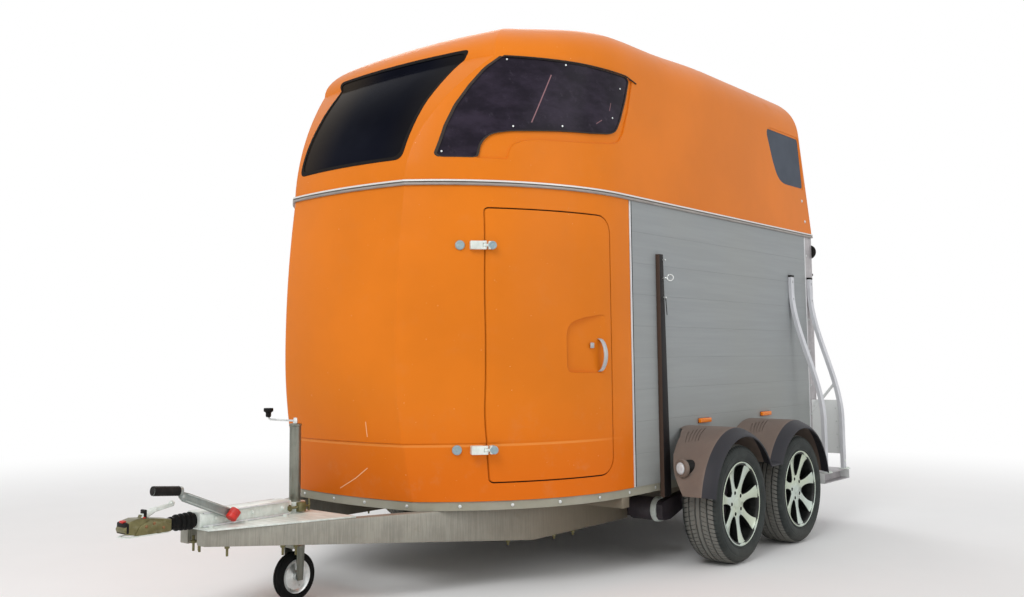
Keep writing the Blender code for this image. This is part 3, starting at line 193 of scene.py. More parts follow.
class Look:
    """A material whose colour, gloss and relief are worked out from its place."""

    def __init__(self, name):
        self.material = bpy.data.materials.new(name)
        self.material.use_nodes = True
        self.tree = self.material.node_tree
        self.shader = self.tree.nodes["Principled BSDF"]
        self.at = self.node("ShaderNodeTexCoord", {}, {}, "Object")
        parts = self.tree.nodes.new("ShaderNodeSeparateXYZ")
        self.tree.links.new(self.at.socket, parts.inputs[0])
        self.x, self.y, self.z = (Term(self, parts.outputs[i]) for i in range(3))
        self.side = abs(self.x)

    def node(self, kind, settings, inputs, output=0):
        made = self.tree.nodes.new(kind)
        for name, value in settings.items():
            setattr(made, name, value)
        for key, value in inputs.items():
            self.feed(made.inputs[key], value)
        return Term(self, made.outputs[output])

    def feed(self, socket, value):
        if isinstance(value, Term):
            self.tree.links.new(value.socket, socket)
        elif hasattr(value, "__len__") and len(value) == 3 and socket.type == "RGBA":
            socket.default_value = (*value, 1)
        else:
            socket.default_value = value

    def way(self, axis):
        """One part of the surface's normal."""
        return self.node("ShaderNodeSeparateXYZ", {},
                         {0: self.node("ShaderNodeNewGeometry", {}, {}, "Normal")}, axis)

    def stretched(self, scale):
        return self.node("ShaderNodeMapping", {}, {"Vector": self.at, "Scale": scale})

    def noise(self, scale, detail=3.0, rough=0.55, stretch=None):
        place = self.stretched(stretch) if stretch else self.at
        return self.node("ShaderNodeTexNoise", {}, {"Vector": place, "Scale": scale, "Detail": detail,
                                                    "Roughness": rough})

    def cells(self, scale, output="Distance", stretch=None, feature="F1", random=1.0):
        place = self.stretched(stretch) if stretch else self.at
        return self.node("ShaderNodeTexVoronoi", {"feature": feature},
                         {"Vector": place, "Scale": scale, "Randomness": random}, output)

    def step(self, value, low, high):
        """Rises smoothly from 0 at low to 1 at high."""
        return self.node("ShaderNodeMapRange", {"interpolation_type": "SMOOTHSTEP"},
                         {"Value": value, "From Min": low, "From Max": high})

    def band(self, value, centre, half, soft):
        return 1 - self.step(abs(value - centre), half, half + soft)

    def mix(self, factor, first, second):
        return self.node("ShaderNodeMix", {"data_type": "RGBA"}, {0: factor, 6: first, 7: second}, 2)

    def specks(self, scale, size, share):
        """Round specks of a cell pattern, kept in a share of its cells."""
        near = self.cells(scale)
        chance = self.node("ShaderNodeSeparateColor", {}, {0: self.cells(scale, "Color")})
        return (1 - self.step(near, size * 0.6, size)) * (1 - self.step(chance, share, share + 0.02))

    def line(self, first, second, a, b, width):
        """A mark along a straight line between two points of a flat pair of coordinates."""
        run = (b[0] - a[0], b[1] - a[1])
        length = hypot(*run)
        u, v = first - a[0], second - a[1]
        along = (u * (run[0] / length) + v * (run[1] / length))
        across = abs(u * (-run[1] / length) + v * (run[0] / length))
        inside = self.step(along, -width, 0.0) * (1 - self.step(along, length, length + width))
        return (1 - self.step(across, width * 0.5, width)) * inside

    def finish(self, colour, rough, metal=0.0, relief=None, depth=0.001, edge=0.0, coat=0.0, specular=0.5,
               coat_rough=0.06):
        self.feed(self.shader.inputs["Base Color"], colour)
        self.feed(self.shader.inputs["Roughness"], rough)
        self.feed(self.shader.inputs["Metallic"], metal)
        self.shader.inputs["Coat Weight"].default_value = coat
        self.shader.inputs["Coat Roughness"].default_value = coat_rough
        self.shader.inputs["Specular IOR Level"].default_value = specular
        normal = self.node("ShaderNodeBevel", {"samples": 4}, {"Radius": edge}) if edge else None
        if relief is not None:
            inputs = {"Height": relief, "Distance": depth, "Strength": 1.0}
            if normal:
                inputs["Normal"] = normal
            normal = self.node("ShaderNodeBump", {}, inputs)
        if normal:
            self.feed(self.shader.inputs["Normal"], normal)
        return self.material


LOOKS = {}


def look(name):
    if name not in LOOKS:
        LOOKS[name] = MAKERS[name]()
    return LOOKS[name]


def paint():
    """Orange gelcoat with fine specks, dust and a painted shade low down, a painted sheen high up, a painted
    highlight under the swage line, and a few scratches.
    """
    a = Look("orange_gelcoat")
    cloud = a.noise(1.3, 4)
    fine = a.noise(60, 3)
    base = a.mix(a.step(cloud, 0.3, 0.75), [c * 0.93 for c in colours().paint],
                 [min(1, c * 1.07) for c in colours().paint])
    # Low down the orange is deeper and darker: painted shade, with less sheen where the nose leans down. The
    # same mask also adds more dust there.
    low = 1 - a.step(a.z, 0.4, 0.9)
    base = a.mix(low * 0.6, base, (0.72, 0.128, 0.002))
    # Higher up the orange turns lighter and paler: painted sheen towards the roof.
    high = a.step(a.z, 1.85, 2.55)
    base = a.mix(high * 0.12, base, (0.76, 0.25, 0.04))
    specks = a.specks(26, 0.05, 0.24) + a.specks(50, 0.055, 0.12)
    ahead = 1 - a.step(a.y, -0.9, 0.4)
    base = a.mix((specks * ahead * 0.9).least(1.0), base, (0.98, 0.6, 0.32))
    dust = a.step(a.noise(9, 5, 0.7), 0.52, 0.78)
    base = a.mix(dust * (0.04 + low * 0.1), base, (0.6, 0.36, 0.2))
    front = 1 - a.step(a.y, -1.0, -0.95)
    marks = a.line(a.x, a.z, (-0.043, 0.431), (0.067, 0.482), 0.0022) + a.line(a.x, a.z, (0.067, 0.482),
                                                                               (0.151, 0.533), 0.0024)
    marks = marks + a.line(a.x, a.z, (0.185, 0.736), (0.185, 0.673), 0.0026)
    base = a.mix((marks * front * 0.7).least(1.0), base, (0.98, 0.68, 0.42))
    # A light band just under the swage line: a painted highlight on its ledge.
    swage_highlight = a.band(a.z, SWAGE_Z - 0.011, 0.003, 0.004) * (1 - a.step(a.y, -0.5, -0.1))
    base = a.mix(swage_highlight * 0.4, base, (0.95, 0.4, 0.1))
    rough = 0.34 + dust * 0.1 + fine * 0.06 + low * 0.08
    relief = a.noise(240, 2) * 0.08 + a.noise(2.0, 2) * 1.0 + marks * 0.2
    return a.finish(base, rough, 0.0, relief, 0.001, 0.004, 0.04, 0.1, 0.12)


def planks():
    """Dull aluminium planks with a thin dark line at each seam."""
    a = Look("plank_aluminium")
    low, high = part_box("side_wall_left")
    pitch = (high.z - low.z) / PLANKS
    seam = ((a.z - low.z) / pitch).wrapped(1.0)
    near = seam.least(1 - seam) * pitch
    streak = a.noise(3, 4, 0.6, (1.0, 0.5, 12.0))
    fine = a.noise(30, 3, 0.6, (1.0, 0.08, 6.0))
    base = a.mix(a.step(streak, 0.35, 0.7), [c * 0.965 for c in colours().plank],
                 [c * 1.03 for c in colours().plank])
    base = a.mix((1 - a.step(near, 0.0006, 0.0026)) * 0.16, base, (0.13, 0.135, 0.14))
    warm = a.step(a.noise(1.1, 2), 0.4, 0.68)
    base = a.mix(warm * 0.25, base, (0.325, 0.332, 0.3))
    grime = (1 - a.step(a.z, 0.4, 0.6)) * a.step(a.noise(14, 5, 0.7), 0.35, 0.75)
    base = a.mix(grime * 0.15, base, (0.26, 0.26, 0.22))
    base = a.mix((1 - a.step(a.z, 0.5, 1.3)) * 0.25, base, (0.4, 0.41, 0.37))
    rough = 0.42 + fine * 0.12 + grime * 0.2
    return a.finish(base, rough, 0.15, fine * 0.5 + streak * 0.4, 0.0004, 0.0006, 0.0, 0.22)


def plated(name, dark, light, metal, rough, stain=(0.22, 0.19, 0.12), dirt_and_shade=0.3, grain=(1.0, 30.0, 1.2),
           ahead=None, behind=None):
    """Plated steel with drawn streaks, soft patches and stains; ahead, where given, is a painted lighter tone
    for faces turned to the front, as if lit.
    """
    a = Look(name)
    streak = a.noise(7, 4, 0.6, grain)
    patch = a.noise(7, 5, 0.65)
    stains = a.step(a.noise(18, 5, 0.7), 0.55, 0.8)
    base = a.mix(a.step(streak * 0.55 + patch * 0.45, 0.34, 0.66), dark, light)
    base = a.mix(stains * dirt_and_shade, base, stain)
    # Faces turned to the front take the colour ahead: painted light.
    if ahead:
        base = a.mix(a.step(a.way(1) * -1.0, 0.6, 0.8), base, ahead)
    if behind:
        base = a.mix(a.step(a.y, -1.05, -0.25) * 0.75, base, behind)
    return a.finish(base, rough + patch * 0.14 + stains * 0.15, metal, streak + patch * 0.5 + stains * 0.3,
                    0.0004, 0.0012)


def galvanised():
    """Hot-dipped zinc of the drawbar, with fine upright streaks."""
    dark, light = [c * 0.78 for c in colours().zinc], [c * 1.12 for c in colours().zinc]
    return plated("galvanised_steel", dark, light, 0.3, 0.4, behind=(0.17, 0.13, 0.08))


def zinc_plate():
    """Olive passivated fittings, rubbed pale on their edges."""
    a = Look("zinc_fitting")
    patch = a.noise(12, 5, 0.6)
    rub = a.step(a.noise(34, 4, 0.6), 0.45, 0.8)
    base = a.mix(a.step(patch, 0.3, 0.75), (0.19, 0.172, 0.07), (0.07, 0.06, 0.018))
    base = a.mix(rub * 0.35, base, (0.38, 0.37, 0.25))
    return a.finish(base, 0.26 + patch * 0.2, 0.45, patch, 0.0005, 0.0012)


def aluminium():
    """Pale extruded aluminium with drawn lines and small nicks."""
    a = Look("aluminium_extrusion")
    drawn = a.noise(30, 3, 0.6, (6.0, 6.0, 0.4))
    patch = a.noise(5, 4)
    nicks = a.specks(60, 0.06, 0.12)
    base = a.mix(a.step(patch * 0.6 + drawn * 0.4, 0.3, 0.7), [c * 0.9 for c in colours().rail],
                 [min(1, c * 1.08) for c in colours().rail])
    base = a.mix(nicks * 0.4, base, (0.3, 0.3, 0.3))
    return a.finish(base, 0.3 + drawn * 0.14, 0.25, drawn, 0.0003, 0.001)


def belt_aluminium():
    """Aluminium belt rail with a painted shade in its recessed groove and a painted highlight on its upper
    lip.
    """
    a = Look("belt_aluminium")
    drawn = a.noise(30, 3, 0.6, (0.4, 0.4, 8.0))
    up = a.z - BELT_Z
    # A dark band over the recessed groove: painted shade.
    dirt_and_shade = a.band(up, 0.0008, 0.0016, 0.0008)
    base = a.mix(a.step(drawn, 0.3, 0.7), (0.27, 0.245, 0.225), (0.38, 0.35, 0.325))
    base = a.mix(dirt_and_shade.least(1.0) * 0.85, base, (0.1, 0.075, 0.055))
    # Above the groove the rail turns much lighter: a painted highlight on the upper lip.
    base = a.mix(a.step(up, 0.003, 0.004), base, (0.74, 0.73, 0.71))
    return a.finish(base, 0.38 + drawn * 0.12, 0.3, drawn, 0.0005, 0.001)


def brown_steel():
    """Dark paint of the posts, with a painted lighter brown on faces turned to the front, as lit."""
    a = Look("dark_post_paint")
    patch = a.noise(9, 5, 0.7, (1.0, 1.0, 0.35))
    grain = a.noise(400, 2)
    lit_front_face = a.step(a.way(1) * -1.0, 0.4, 0.6)
    base = a.mix(a.step(patch, 0.35, 0.75), (0.012, 0.011, 0.012), (0.028, 0.025, 0.024))
    # Faces turned to the front get a lighter brown: painted light.
    base = a.mix(lit_front_face * 0.85, base, (0.082, 0.05, 0.036))
    return a.finish(base, 0.45 + patch * 0.2, 0.0, grain + patch, 0.0004, 0.001, 0.0, 0.15)


def glass_dark():
    """Near-black windscreen with a faint haze, and painted reflections: brown towards the left, grey-brown
    towards the right.
    """
    a = Look("dark_glass")
    haze = a.step(a.noise(2.2, 3), 0.35, 0.7)
    base = a.mix(haze, (0.0035, 0.0042, 0.0085), (0.008, 0.009, 0.015))
    # Brown towards the left and grey-brown towards the right: painted reflections.
    base = a.mix(1 - a.step(a.x, -0.38, -0.05), base, (0.034, 0.027, 0.021))
    base = a.mix(a.step(a.x, 0.18, 0.44) * 0.7, base, (0.018, 0.016, 0.014))
    return a.finish(base, 0.1 + haze * 0.06, 0.0, a.noise(3, 1), 0.0002, 0.001, 0.0, 0.006)


def acrylic():
    """Purple-black acrylic with wiping scratches, smears and a few pale scratches."""
    a = Look("tinted_acrylic")
    smear = a.noise(5, 6, 0.65, (1.0, 1.0, 2.2))
    fine = a.step(a.noise(26, 6, 0.72), 0.56, 0.74)
    base = a.mix(a.step(smear, 0.35, 0.72), (0.012, 0.009, 0.016), (0.032, 0.024, 0.04))
    base = a.mix(fine * 0.45, base, (0.062, 0.052, 0.072))
    long = a.line(a.y, a.z, (-0.974 + AXLE_Y, 2.302), (-1.096 + AXLE_Y, 2.065), 0.003)
    short = a.line(a.y, a.z, (-0.64 + AXLE_Y, 2.215), (-0.652 + AXLE_Y, 2.178), 0.003)
    few = a.line(a.y, a.z, (-0.712 + AXLE_Y, 2.122), (-0.75 + AXLE_Y, 2.1), 0.0025)
    near = a.step(a.x, 0.3, 0.4)
    base = a.mix((long + short * 0.7 + few * 0.8) * near * 0.55, base, (0.5, 0.26, 0.28))
    return a.finish(base, 0.14 + smear * 0.12 + fine * 0.1, 0.0, smear, 0.0008, 0.001, 0.0, 0.1)


def rubber():
    """Matt black rubber with a grey bloom."""
    a = Look("matt_rubber")
    bloom = a.step(a.noise(30, 5, 0.65), 0.45, 0.8)
    base = a.mix(bloom * 0.5, (0.006, 0.006, 0.006), (0.024, 0.022, 0.02))
    return a.finish(base, 0.55 + bloom * 0.2, 0.0, a.noise(220, 3), 0.0003, 0.001, 0.0, 0.1)


def tyre_rubber():
    """Road tyre: dust-grey tread with dark grooves, darker sides, and the inner half of the tread left dark
    as a painted shade.
    """
    a = Look("tyre_rubber")
    bloom = a.noise(16, 5, 0.65)
    grain = a.noise(300, 2)
    out = abs(a.side - WHEEL_X)
    along = abs(abs(a.y - (AXLES[0] + AXLES[1]) / 2) - (AXLES[1] - AXLES[0]) / 2)
    up = a.z - WHEEL_Z
    round_from = (along * along + up * up).root()
    tread = (1 - a.step(out, 0.076, 0.084)) * a.step(round_from, 0.2795, 0.282)
    base = a.mix(a.step(bloom, 0.35, 0.75), (0.02, 0.024, 0.023), (0.038, 0.045, 0.042))
    low = 1 - a.step(a.z, 0.0, 0.12)
    # Only the outer half of the tread turns dust-grey; the inner half stays dark as a painted shade.
    outer_dust_and_light = a.step(a.side, WHEEL_X - 0.085, WHEEL_X - 0.045)
    base = a.mix(tread * (0.1 + outer_dust_and_light * 0.65 + bloom * 0.2), base, (0.205, 0.202, 0.182))
    base = a.mix(low * 0.25, base, (0.1, 0.09, 0.07))
    return a.finish(base, 0.62 + bloom * 0.15, 0.0, grain * 0.6 + bloom, 0.0004, 0.0, 0.0, 0.3)


def machined():
    """Machined wheel face, faintly greenish."""
    a = Look("machined_alloy")
    patch = a.noise(20, 5, 0.6)
    tint = a.step(a.noise(3.2, 2), 0.45, 0.55)
    base = a.mix(a.step(patch, 0.4, 0.8), (0.56, 0.64, 0.58), (0.48, 0.56, 0.5))
    base = a.mix(tint * 0.5, base, (0.56, 0.62, 0.42))
    return a.finish(base, 0.24 + patch * 0.12, 0.35, a.noise(260, 2), 0.0001, 0.0008)


def wheel_black():
    """Black painted pockets and barrel of the wheels, with brake dust."""
    a = Look("wheel_black")
    dust = a.step(a.noise(24, 5, 0.7), 0.4, 0.8)
    base = a.mix(dust * 0.5, (0.01, 0.012, 0.011), (0.03, 0.032, 0.027))
    return a.finish(base, 0.32 + dust * 0.25, 0.0, dust, 0.0003, 0.001, 0.0, 0.3)


def guard_plastic():
    """Brown-grey moulded plastic; upward faces get a painted lit tone, and the outer rim is painted darker
    and bluer as shade.
    """
    a = Look("mudguard_plastic")
    patch = a.noise(7, 5, 0.65)
    grain = a.noise(420, 2)
    up = a.way(2)
    base = a.mix(a.step(patch, 0.3, 0.75), (0.168, 0.13, 0.108), (0.21, 0.162, 0.134))
    # Upward faces are pulled to one warm tone: painted light from above.
    base = a.mix(a.step(up, 0.4, 0.95) * 0.35, base, (0.185, 0.14, 0.122))
    # The outer rim is darker and bluer: painted shade.
    rim = a.step(a.side, GUARD_OUT - 0.0585, GUARD_OUT - 0.0555)
    base = a.mix(rim * 0.93, base, (0.02, 0.023, 0.031))
    return a.finish(base, 0.42 + patch * 0.14, 0.0, grain * 0.5 + patch, 0.0004, 0.002, 0.0, 0.2)


def moulded(name, noise, span, dark, light, gloss, metal=0.0, relief=None, depth=0.0003, specular=0.5):
    """A finish whose shade and gloss follow one noise, with the relief of that noise or of a finer one."""
    a = Look(name)
    patch = a.noise(*noise)
    base = a.mix(a.step(patch, *span), dark, light)
    rough = gloss[0] + patch * gloss[1]
    return a.finish(base, rough, metal, a.noise(*relief) if relief else patch, depth, 0.001, 0.0, specular)


def lens(name, colour, deep, scale=180):
    """A lamp lens with small prisms under a clear face."""
    a = Look(name)
    prism = a.cells(scale, "Distance", None, "F1", 0.0)
    patch = a.noise(30, 4)
    base = a.mix(a.step(prism, 0.15, 0.6), colour, deep)
    base = a.mix(a.step(patch, 0.5, 0.9) * 0.2, base, [c * 0.7 for c in colour])
    return a.finish(base, 0.14 + patch * 0.1, 0.0, prism, 0.0008, 0.001, 0.15, 0.25)


def deck():
    """Coated floor boards in a metal edge, grimy underneath."""
    a = Look("floor_boards")
    grain = a.noise(12, 5, 0.65, (1.0, 0.15, 1.0))
    up = a.way(2)
    rim = 1 - a.step(abs(up), 0.4, 0.6)
    base = a.mix(a.step(grain, 0.3, 0.75), (0.1, 0.085, 0.06), (0.19, 0.165, 0.12))
    zinc = a.noise(9, 5)
    base = a.mix(rim, base, a.mix(zinc, (0.25, 0.24, 0.17), (0.38, 0.37, 0.31)))
    return a.finish(base, 0.55 + grain * 0.25, 0.0, grain, 0.001, 0.002)


def soft(name, dark, light):
    """Matt seals and trims."""
    a = Look(name)
    patch = a.noise(30, 3)
    base = a.mix(patch, dark, light)
    return a.finish(base, 0.7 + patch * 0.2, 0.0, patch, 0.0004, 0.0, 0.0, 0.12)


def ply():
    """Inner faces of the ramp: ribbed rubber over board."""
    a = Look("ramp_mat")
    patch = a.noise(9, 5)
    rib = a.z.maths("SINE", a.z * 250)
    base = a.mix(a.step(patch, 0.3, 0.7), (0.03, 0.029, 0.028), (0.06, 0.057, 0.052))
    return a.finish(base, 0.75 + patch * 0.15, 0.0, rib * 0.5, 0.002)


MAKERS = {
    "paint": paint, "planks": planks, "galvanised": galvanised, "zinc": zinc_plate, "aluminium": aluminium,
    "belt": belt_aluminium, "post": brown_steel, "glass": glass_dark, "acrylic": acrylic, "rubber": rubber,
    "tyre": tyre_rubber, "machined": machined, "wheel_black": wheel_black, "guard": guard_plastic,
    "deck": deck, "ply": ply,
    "slate": lambda: moulded("slate_panel", (6, 4), (0.3, 0.7), (0.058, 0.071, 0.095), (0.074, 0.09, 0.118),
                             (0.26, 0.1), 0.0, (90, 3), 0.0002, 0.04),
    "black_plastic": lambda: moulded("black_plastic", (28, 4), (0.4, 0.8), (0.008, 0.0075, 0.007),
                                     (0.022, 0.02, 0.018), (0.38, 0.2), 0.0, (380, 2), specular=0.14),
    "grey_plastic": lambda: moulded("grey_plastic", (18, 4), (0.35, 0.75), (0.42, 0.44, 0.45),
                                    (0.56, 0.57, 0.57), (0.36, 0.14), 0.1, (300, 2)),
    "buffer": lambda: moulded("buffer_plastic", (40, 4), (0.35, 0.75), (0.27, 0.37, 0.41), (0.36, 0.45, 0.48),
                              (0.42, 0.14)),
    "steel": lambda: moulded("bright_steel", (45, 4, 0.6), (0.35, 0.75), (0.62, 0.65, 0.64),
                             (0.78, 0.8, 0.79), (0.22, 0.16), 0.7),
    "red": lambda: moulded("red_plastic", (40, 4), (0.35, 0.75), (0.62, 0.022, 0.012), (0.45, 0.015, 0.01),
                           (0.36, 0.14)),
    "seal": lambda: soft("seal_rubber", (0.006, 0.005, 0.005), (0.018, 0.015, 0.013)),
    "gap": lambda: soft("door_seal_rubber", (0.012, 0.006, 0.004), (0.05, 0.02, 0.008)),
    "trim": lambda: soft("window_trim", (0.032, 0.027, 0.024), (0.07, 0.058, 0.048)),
    "white_zinc": lambda: plated("bright_zinc", (0.6, 0.65, 0.6), (0.82, 0.87, 0.82), 0.12, 0.3,
                                 (0.34, 0.34, 0.24), 0.18, (1.0, 6.0, 3.0)),
    "lever": lambda: plated("lever_zinc", (0.22, 0.25, 0.235), (0.32, 0.355, 0.335), 0.15, 0.3,
                            (0.24, 0.25, 0.18), 0.18, (1.0, 6.0, 3.0)),
    # Pale zinc of the platform and corner posts; its faces turned to the front get a painted lighter tone, as
    # lit.
    "corner": lambda: plated("pale_zinc", (0.35, 0.335, 0.345), (0.49, 0.465, 0.475), 0.15, 0.36,
                             (0.26, 0.25, 0.22), 0.2, (2.0, 2.0, 3.0), ahead=(0.74, 0.76, 0.75)),
    "jack": lambda: plated("jack_zinc", (0.145, 0.15, 0.125), (0.27, 0.275, 0.235), 0.8, 0.24,
                           (0.1, 0.09, 0.06), 0.2, (6.0, 6.0, 0.6)),
    # A lighter copy of the lever's zinc for its rolled edges: painted highlight.
    "lever_edge": lambda: plated("lever_highlight_zinc", (0.36, 0.4, 0.38), (0.48, 0.52, 0.5), 0.2, 0.28,
                                 (0.3, 0.3, 0.26), 0.15, (6.0, 6.0, 0.6)),
    "bright": lambda: plated("bright_trim", (0.6, 0.61, 0.62), (0.76, 0.77, 0.78), 0.25, 0.28,
                             (0.4, 0.4, 0.38), 0.15, (6.0, 6.0, 0.6)),
    "copper": lambda: plated("copper_bolts", (0.18, 0.085, 0.035), (0.3, 0.165, 0.075), 0.5, 0.34,
                             (0.2, 0.12, 0.06), 0.25, (3.0, 3.0, 3.0)),
    "axle": lambda: plated("axle_paint", (0.03, 0.024, 0.032), (0.062, 0.05, 0.056), 0.0, 0.4,
                           (0.09, 0.07, 0.05), 0.35, (3.0, 3.0, 3.0)),
    "red_lens": lambda: lens("red_lens", (0.4, 0.012, 0.01), (0.2, 0.006, 0.006)),
    "amber_lens": lambda: lens("amber_lens", (1.0, 0.32, 0.01), (0.95, 0.2, 0.004)),
    "white_lens": lambda: lens("white_lens", (0.78, 0.79, 0.8), (0.58, 0.6, 0.62)),
}


# Work with bpy.ops
def select(piece):
    if bpy.context.object and bpy.context.object.mode != "OBJECT":
        bpy.ops.object.mode_set(mode="OBJECT")
    bpy.ops.object.select_all(action="DESELECT")
    piece.hide_viewport = False
    piece.select_set(True)
    bpy.context.view_layer.objects.active = piece


def edit(piece, all_selected=True):
    select(piece)
    bpy.ops.object.mode_set(mode="EDIT")
    bpy.ops.mesh.select_mode(type="FACE")
    bpy.ops.mesh.select_all(action="SELECT" if all_selected else "DESELECT")


def done():
    bpy.ops.object.mode_set(mode="OBJECT")


def settle(piece):
    """Puts the piece's place into its mesh."""
    select(piece)
    bpy.ops.object.transform_apply(location=True, rotation=True, scale=True)
    return piece


def tidy(piece, distance=0.00002):
    edit(piece)
    bpy.ops.mesh.remove_doubles(threshold=distance)
    bpy.ops.mesh.normals_make_consistent(inside=False)
    done()
    return piece


def pick(piece, test):
    """Selects the faces that a test on centre and normal accepts."""
    bpy.ops.object.mode_set(mode="OBJECT")
    for polygon in piece.data.polygons:
        polygon.select = bool(test(polygon.center, polygon.normal))
    bpy.ops.object.mode_set(mode="EDIT")


def smooth(piece, angle=35):
    select(piece)
    bpy.ops.object.shade_smooth_by_angle(angle=radians(angle))
    return piece


def rounded_edges(piece, width, segments=2, angle=35):
    modifier = piece.modifiers.new("edges", "BEVEL")
    modifier.width = width
    modifier.segments = segments
    modifier.limit_method = "ANGLE"
    modifier.angle_limit = radians(angle)
    modifier.harden_normals = False
    select(piece)
    bpy.ops.object.modifier_apply(modifier="edges")
    return piece


def dress(piece, finish, body="trailer", angle=35):
    smooth(piece, angle)
    piece.data.materials.clear()
    piece.data.materials.append(look(finish))
    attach(piece, body)
    return piece


def join(name, pieces):
    select(pieces[0])
    for piece in pieces:
        piece.select_set(True)
    if len(pieces) > 1:
        bpy.ops.object.join()
    pieces[0].name = name
    return pieces[0]


def twin(piece, name, matrix):
    """A copy with its own mesh, placed by a matrix; a mirrored one keeps its faces outward."""
    made = bpy.data.objects.new(name, piece.data.copy())
    bpy.context.scene.collection.objects.link(made)
    made.data.transform(matrix)
    if matrix.determinant() < 0:
        made.data.flip_normals()
    return made


MIRROR = Matrix.Scale(-1, 4, (1, 0, 0))


def mesh_piece(name, points, faces):
    mesh = bpy.data.meshes.new(name)
    mesh.from_pydata([tuple(p) for p in points], [], faces)
    made = bpy.data.objects.new(name, mesh)
    bpy.context.scene.collection.objects.link(made)
    return made


def loft(name, rings, closed=True, caps=True):
    """Bridges rings of points."""
    count = len(rings[0])
    points = [p for ring in rings for p in ring]
    faces = []
    for i in range(len(rings) - 1):
        for j in range(count if closed else count - 1):
            k = (j + 1) % count
            faces.append((i * count + j, i * count + k, (i + 1) * count + k, (i + 1) * count + j))
    if caps:
        faces.append(tuple(reversed(range(count))))
        faces.append(tuple((len(rings) - 1) * count + j for j in range(count)))
    return tidy(mesh_piece(name, points, faces))


def prism(name, outline, axis, low, high):
    """A flat face extruded along an axis; outline points lie in the other two axes, in order."""
    def put(p, h):
        return {"x": (h, p[0], p[1]), "y": (p[0], h, p[1]), "z": (p[0], p[1], h)}[axis]
    made = mesh_piece(name, [put(p, low) for p in outline], [tuple(range(len(outline)))])
    edit(made)
    run = put((0, 0), high - low)
    bpy.ops.mesh.extrude_region_move(TRANSFORM_OT_translate={"value": run})
    done()
    return tidy(made)


def block(name, x, y, z):
    """A block added at its size and place."""
    bpy.ops.mesh.primitive_cube_add(size=1, location=((x[0] + x[1]) / 2, (y[0] + y[1]) / 2,
                                                      (z[0] + z[1]) / 2))
    made = bpy.context.object
    made.name = name
    made.scale = (x[1] - x[0], y[1] - y[0], z[1] - z[0])
    return settle(made)


def slab(name, x, y, z, edge=0.001, segments=2):
    return rounded_edges(block(name, x, y, z), edge, segments)


def turned(name, profile, centre, axis, steps=32):
    """Spins a profile of (radius, along) about an axis; it is closed unless it starts on the axis."""
    def put(r, h):
        return Vector(centre) + Vector({"x": (h, r, 0), "y": (r, h, 0), "z": (r, 0, h)}[axis])
    count = len(profile)
    edges = [(i, i + 1) for i in range(count - 1)]
    if profile[0][0] > 0:
        edges.append((count - 1, 0))
    mesh = bpy.data.meshes.new(name)
    mesh.from_pydata([put(r, h) for r, h in profile], edges, [])
    made = bpy.data.objects.new(name, mesh)
    bpy.context.scene.collection.objects.link(made)
    select(made)
    bpy.ops.object.mode_set(mode="EDIT")
    bpy.ops.mesh.select_mode(type="VERT")
    bpy.ops.mesh.select_all(action="SELECT")
    bpy.ops.mesh.spin(steps=steps, angle=2 * pi, center=centre,
                      axis={"x": (1, 0, 0), "y": (0, 1, 0), "z": (0, 0, 1)}[axis])
    done()
    return tidy(made)


def mirrored(half):
    """A profile of (radius, along) followed by its mirror image."""
    return half + [(r, -h) for r, h in reversed(half)]


def rod(name, start, end, radius, steps=16, edge=0.0015):
    """A round bar between two points, its ends rounded."""
    start, end = Vector(start), Vector(end)
    run = end - start
    bpy.ops.mesh.primitive_cylinder_add(vertices=steps, radius=radius, depth=run.length,
                                        location=(start + end) / 2)
    made = bpy.context.object
    made.name = name
    made.rotation_mode = "QUATERNION"
    made.rotation_quaternion = Vector((0, 0, 1)).rotation_difference(run.normalized())
    settle(made)
    return rounded_edges(made, min(edge, radius * 0.45), 2, 50)


def tube(name, path, radius, sides=10, closed=False):
    """A round tube along a path of points."""
    curve = bpy.data.curves.new(name, "CURVE")
    curve.dimensions = "3D"
    curve.bevel_depth = radius
    curve.bevel_resolution = max(1, sides // 4)
    curve.use_fill_caps = not closed
    spline = curve.splines.new("POLY")
    spline.points.add(len(path) - 1)
    for point, place in zip(spline.points, path):
        point.co = (*place, 1)
    spline.use_cyclic_u = closed
    made = bpy.data.objects.new(name, curve)
    bpy.context.scene.collection.objects.link(made)
    select(made)
    bpy.ops.object.convert(target="MESH")
    return tidy(bpy.context.object)


def bolt(name, place, way, radius=0.009, height=0.006, washer=True):
    """A hexagon bolt head on a washer, its face inset."""
    way = Vector(way).normalized()
    bpy.ops.mesh.primitive_cylinder_add(vertices=6, radius=radius, depth=height, location=(0, 0, height / 2))
    made = bpy.context.object
    settle(made)
    edit(made, False)
    pick(made, lambda c, n: n.z > 0.9)
    bpy.ops.mesh.inset(thickness=radius * 0.18, depth=radius * 0.1)
    done()
    parts = [made]
    if washer:
        bpy.ops.mesh.primitive_cylinder_add(vertices=16, radius=radius * 1.35, depth=0.002,
                                            location=(0, 0, 0.0005))
        ring = bpy.context.object
        settle(ring)
        edit(ring, False)
        pick(ring, lambda c, n: n.z > 0.9)
        bpy.ops.mesh.inset(thickness=radius * 0.12, depth=0.0004)
        done()
        parts.append(ring)
    made = join(name, parts)
    turn = Vector((0, 0, 1)).rotation_difference(way).to_matrix().to_4x4()
    made.data.transform(Matrix.Translation(Vector(place)) @ turn)
    return made


def scattered(name, model, places):
    """Copies of one model, moved by vectors, joined as one piece."""
    copies = [twin(model, f"{name}_{i}", Matrix.Translation(Vector(p))) for i, p in enumerate(places)]
    bpy.data.objects.remove(model)
    return join(name, copies)


def carve(piece, tool, operation="DIFFERENCE"):
    modifier = piece.modifiers.new("cut", "BOOLEAN")
    modifier.operation = operation
    modifier.object = tool
    modifier.solver = "EXACT"
    select(piece)
    bpy.ops.object.modifier_apply(modifier="cut")
    bpy.data.objects.remove(tool)
    return piece


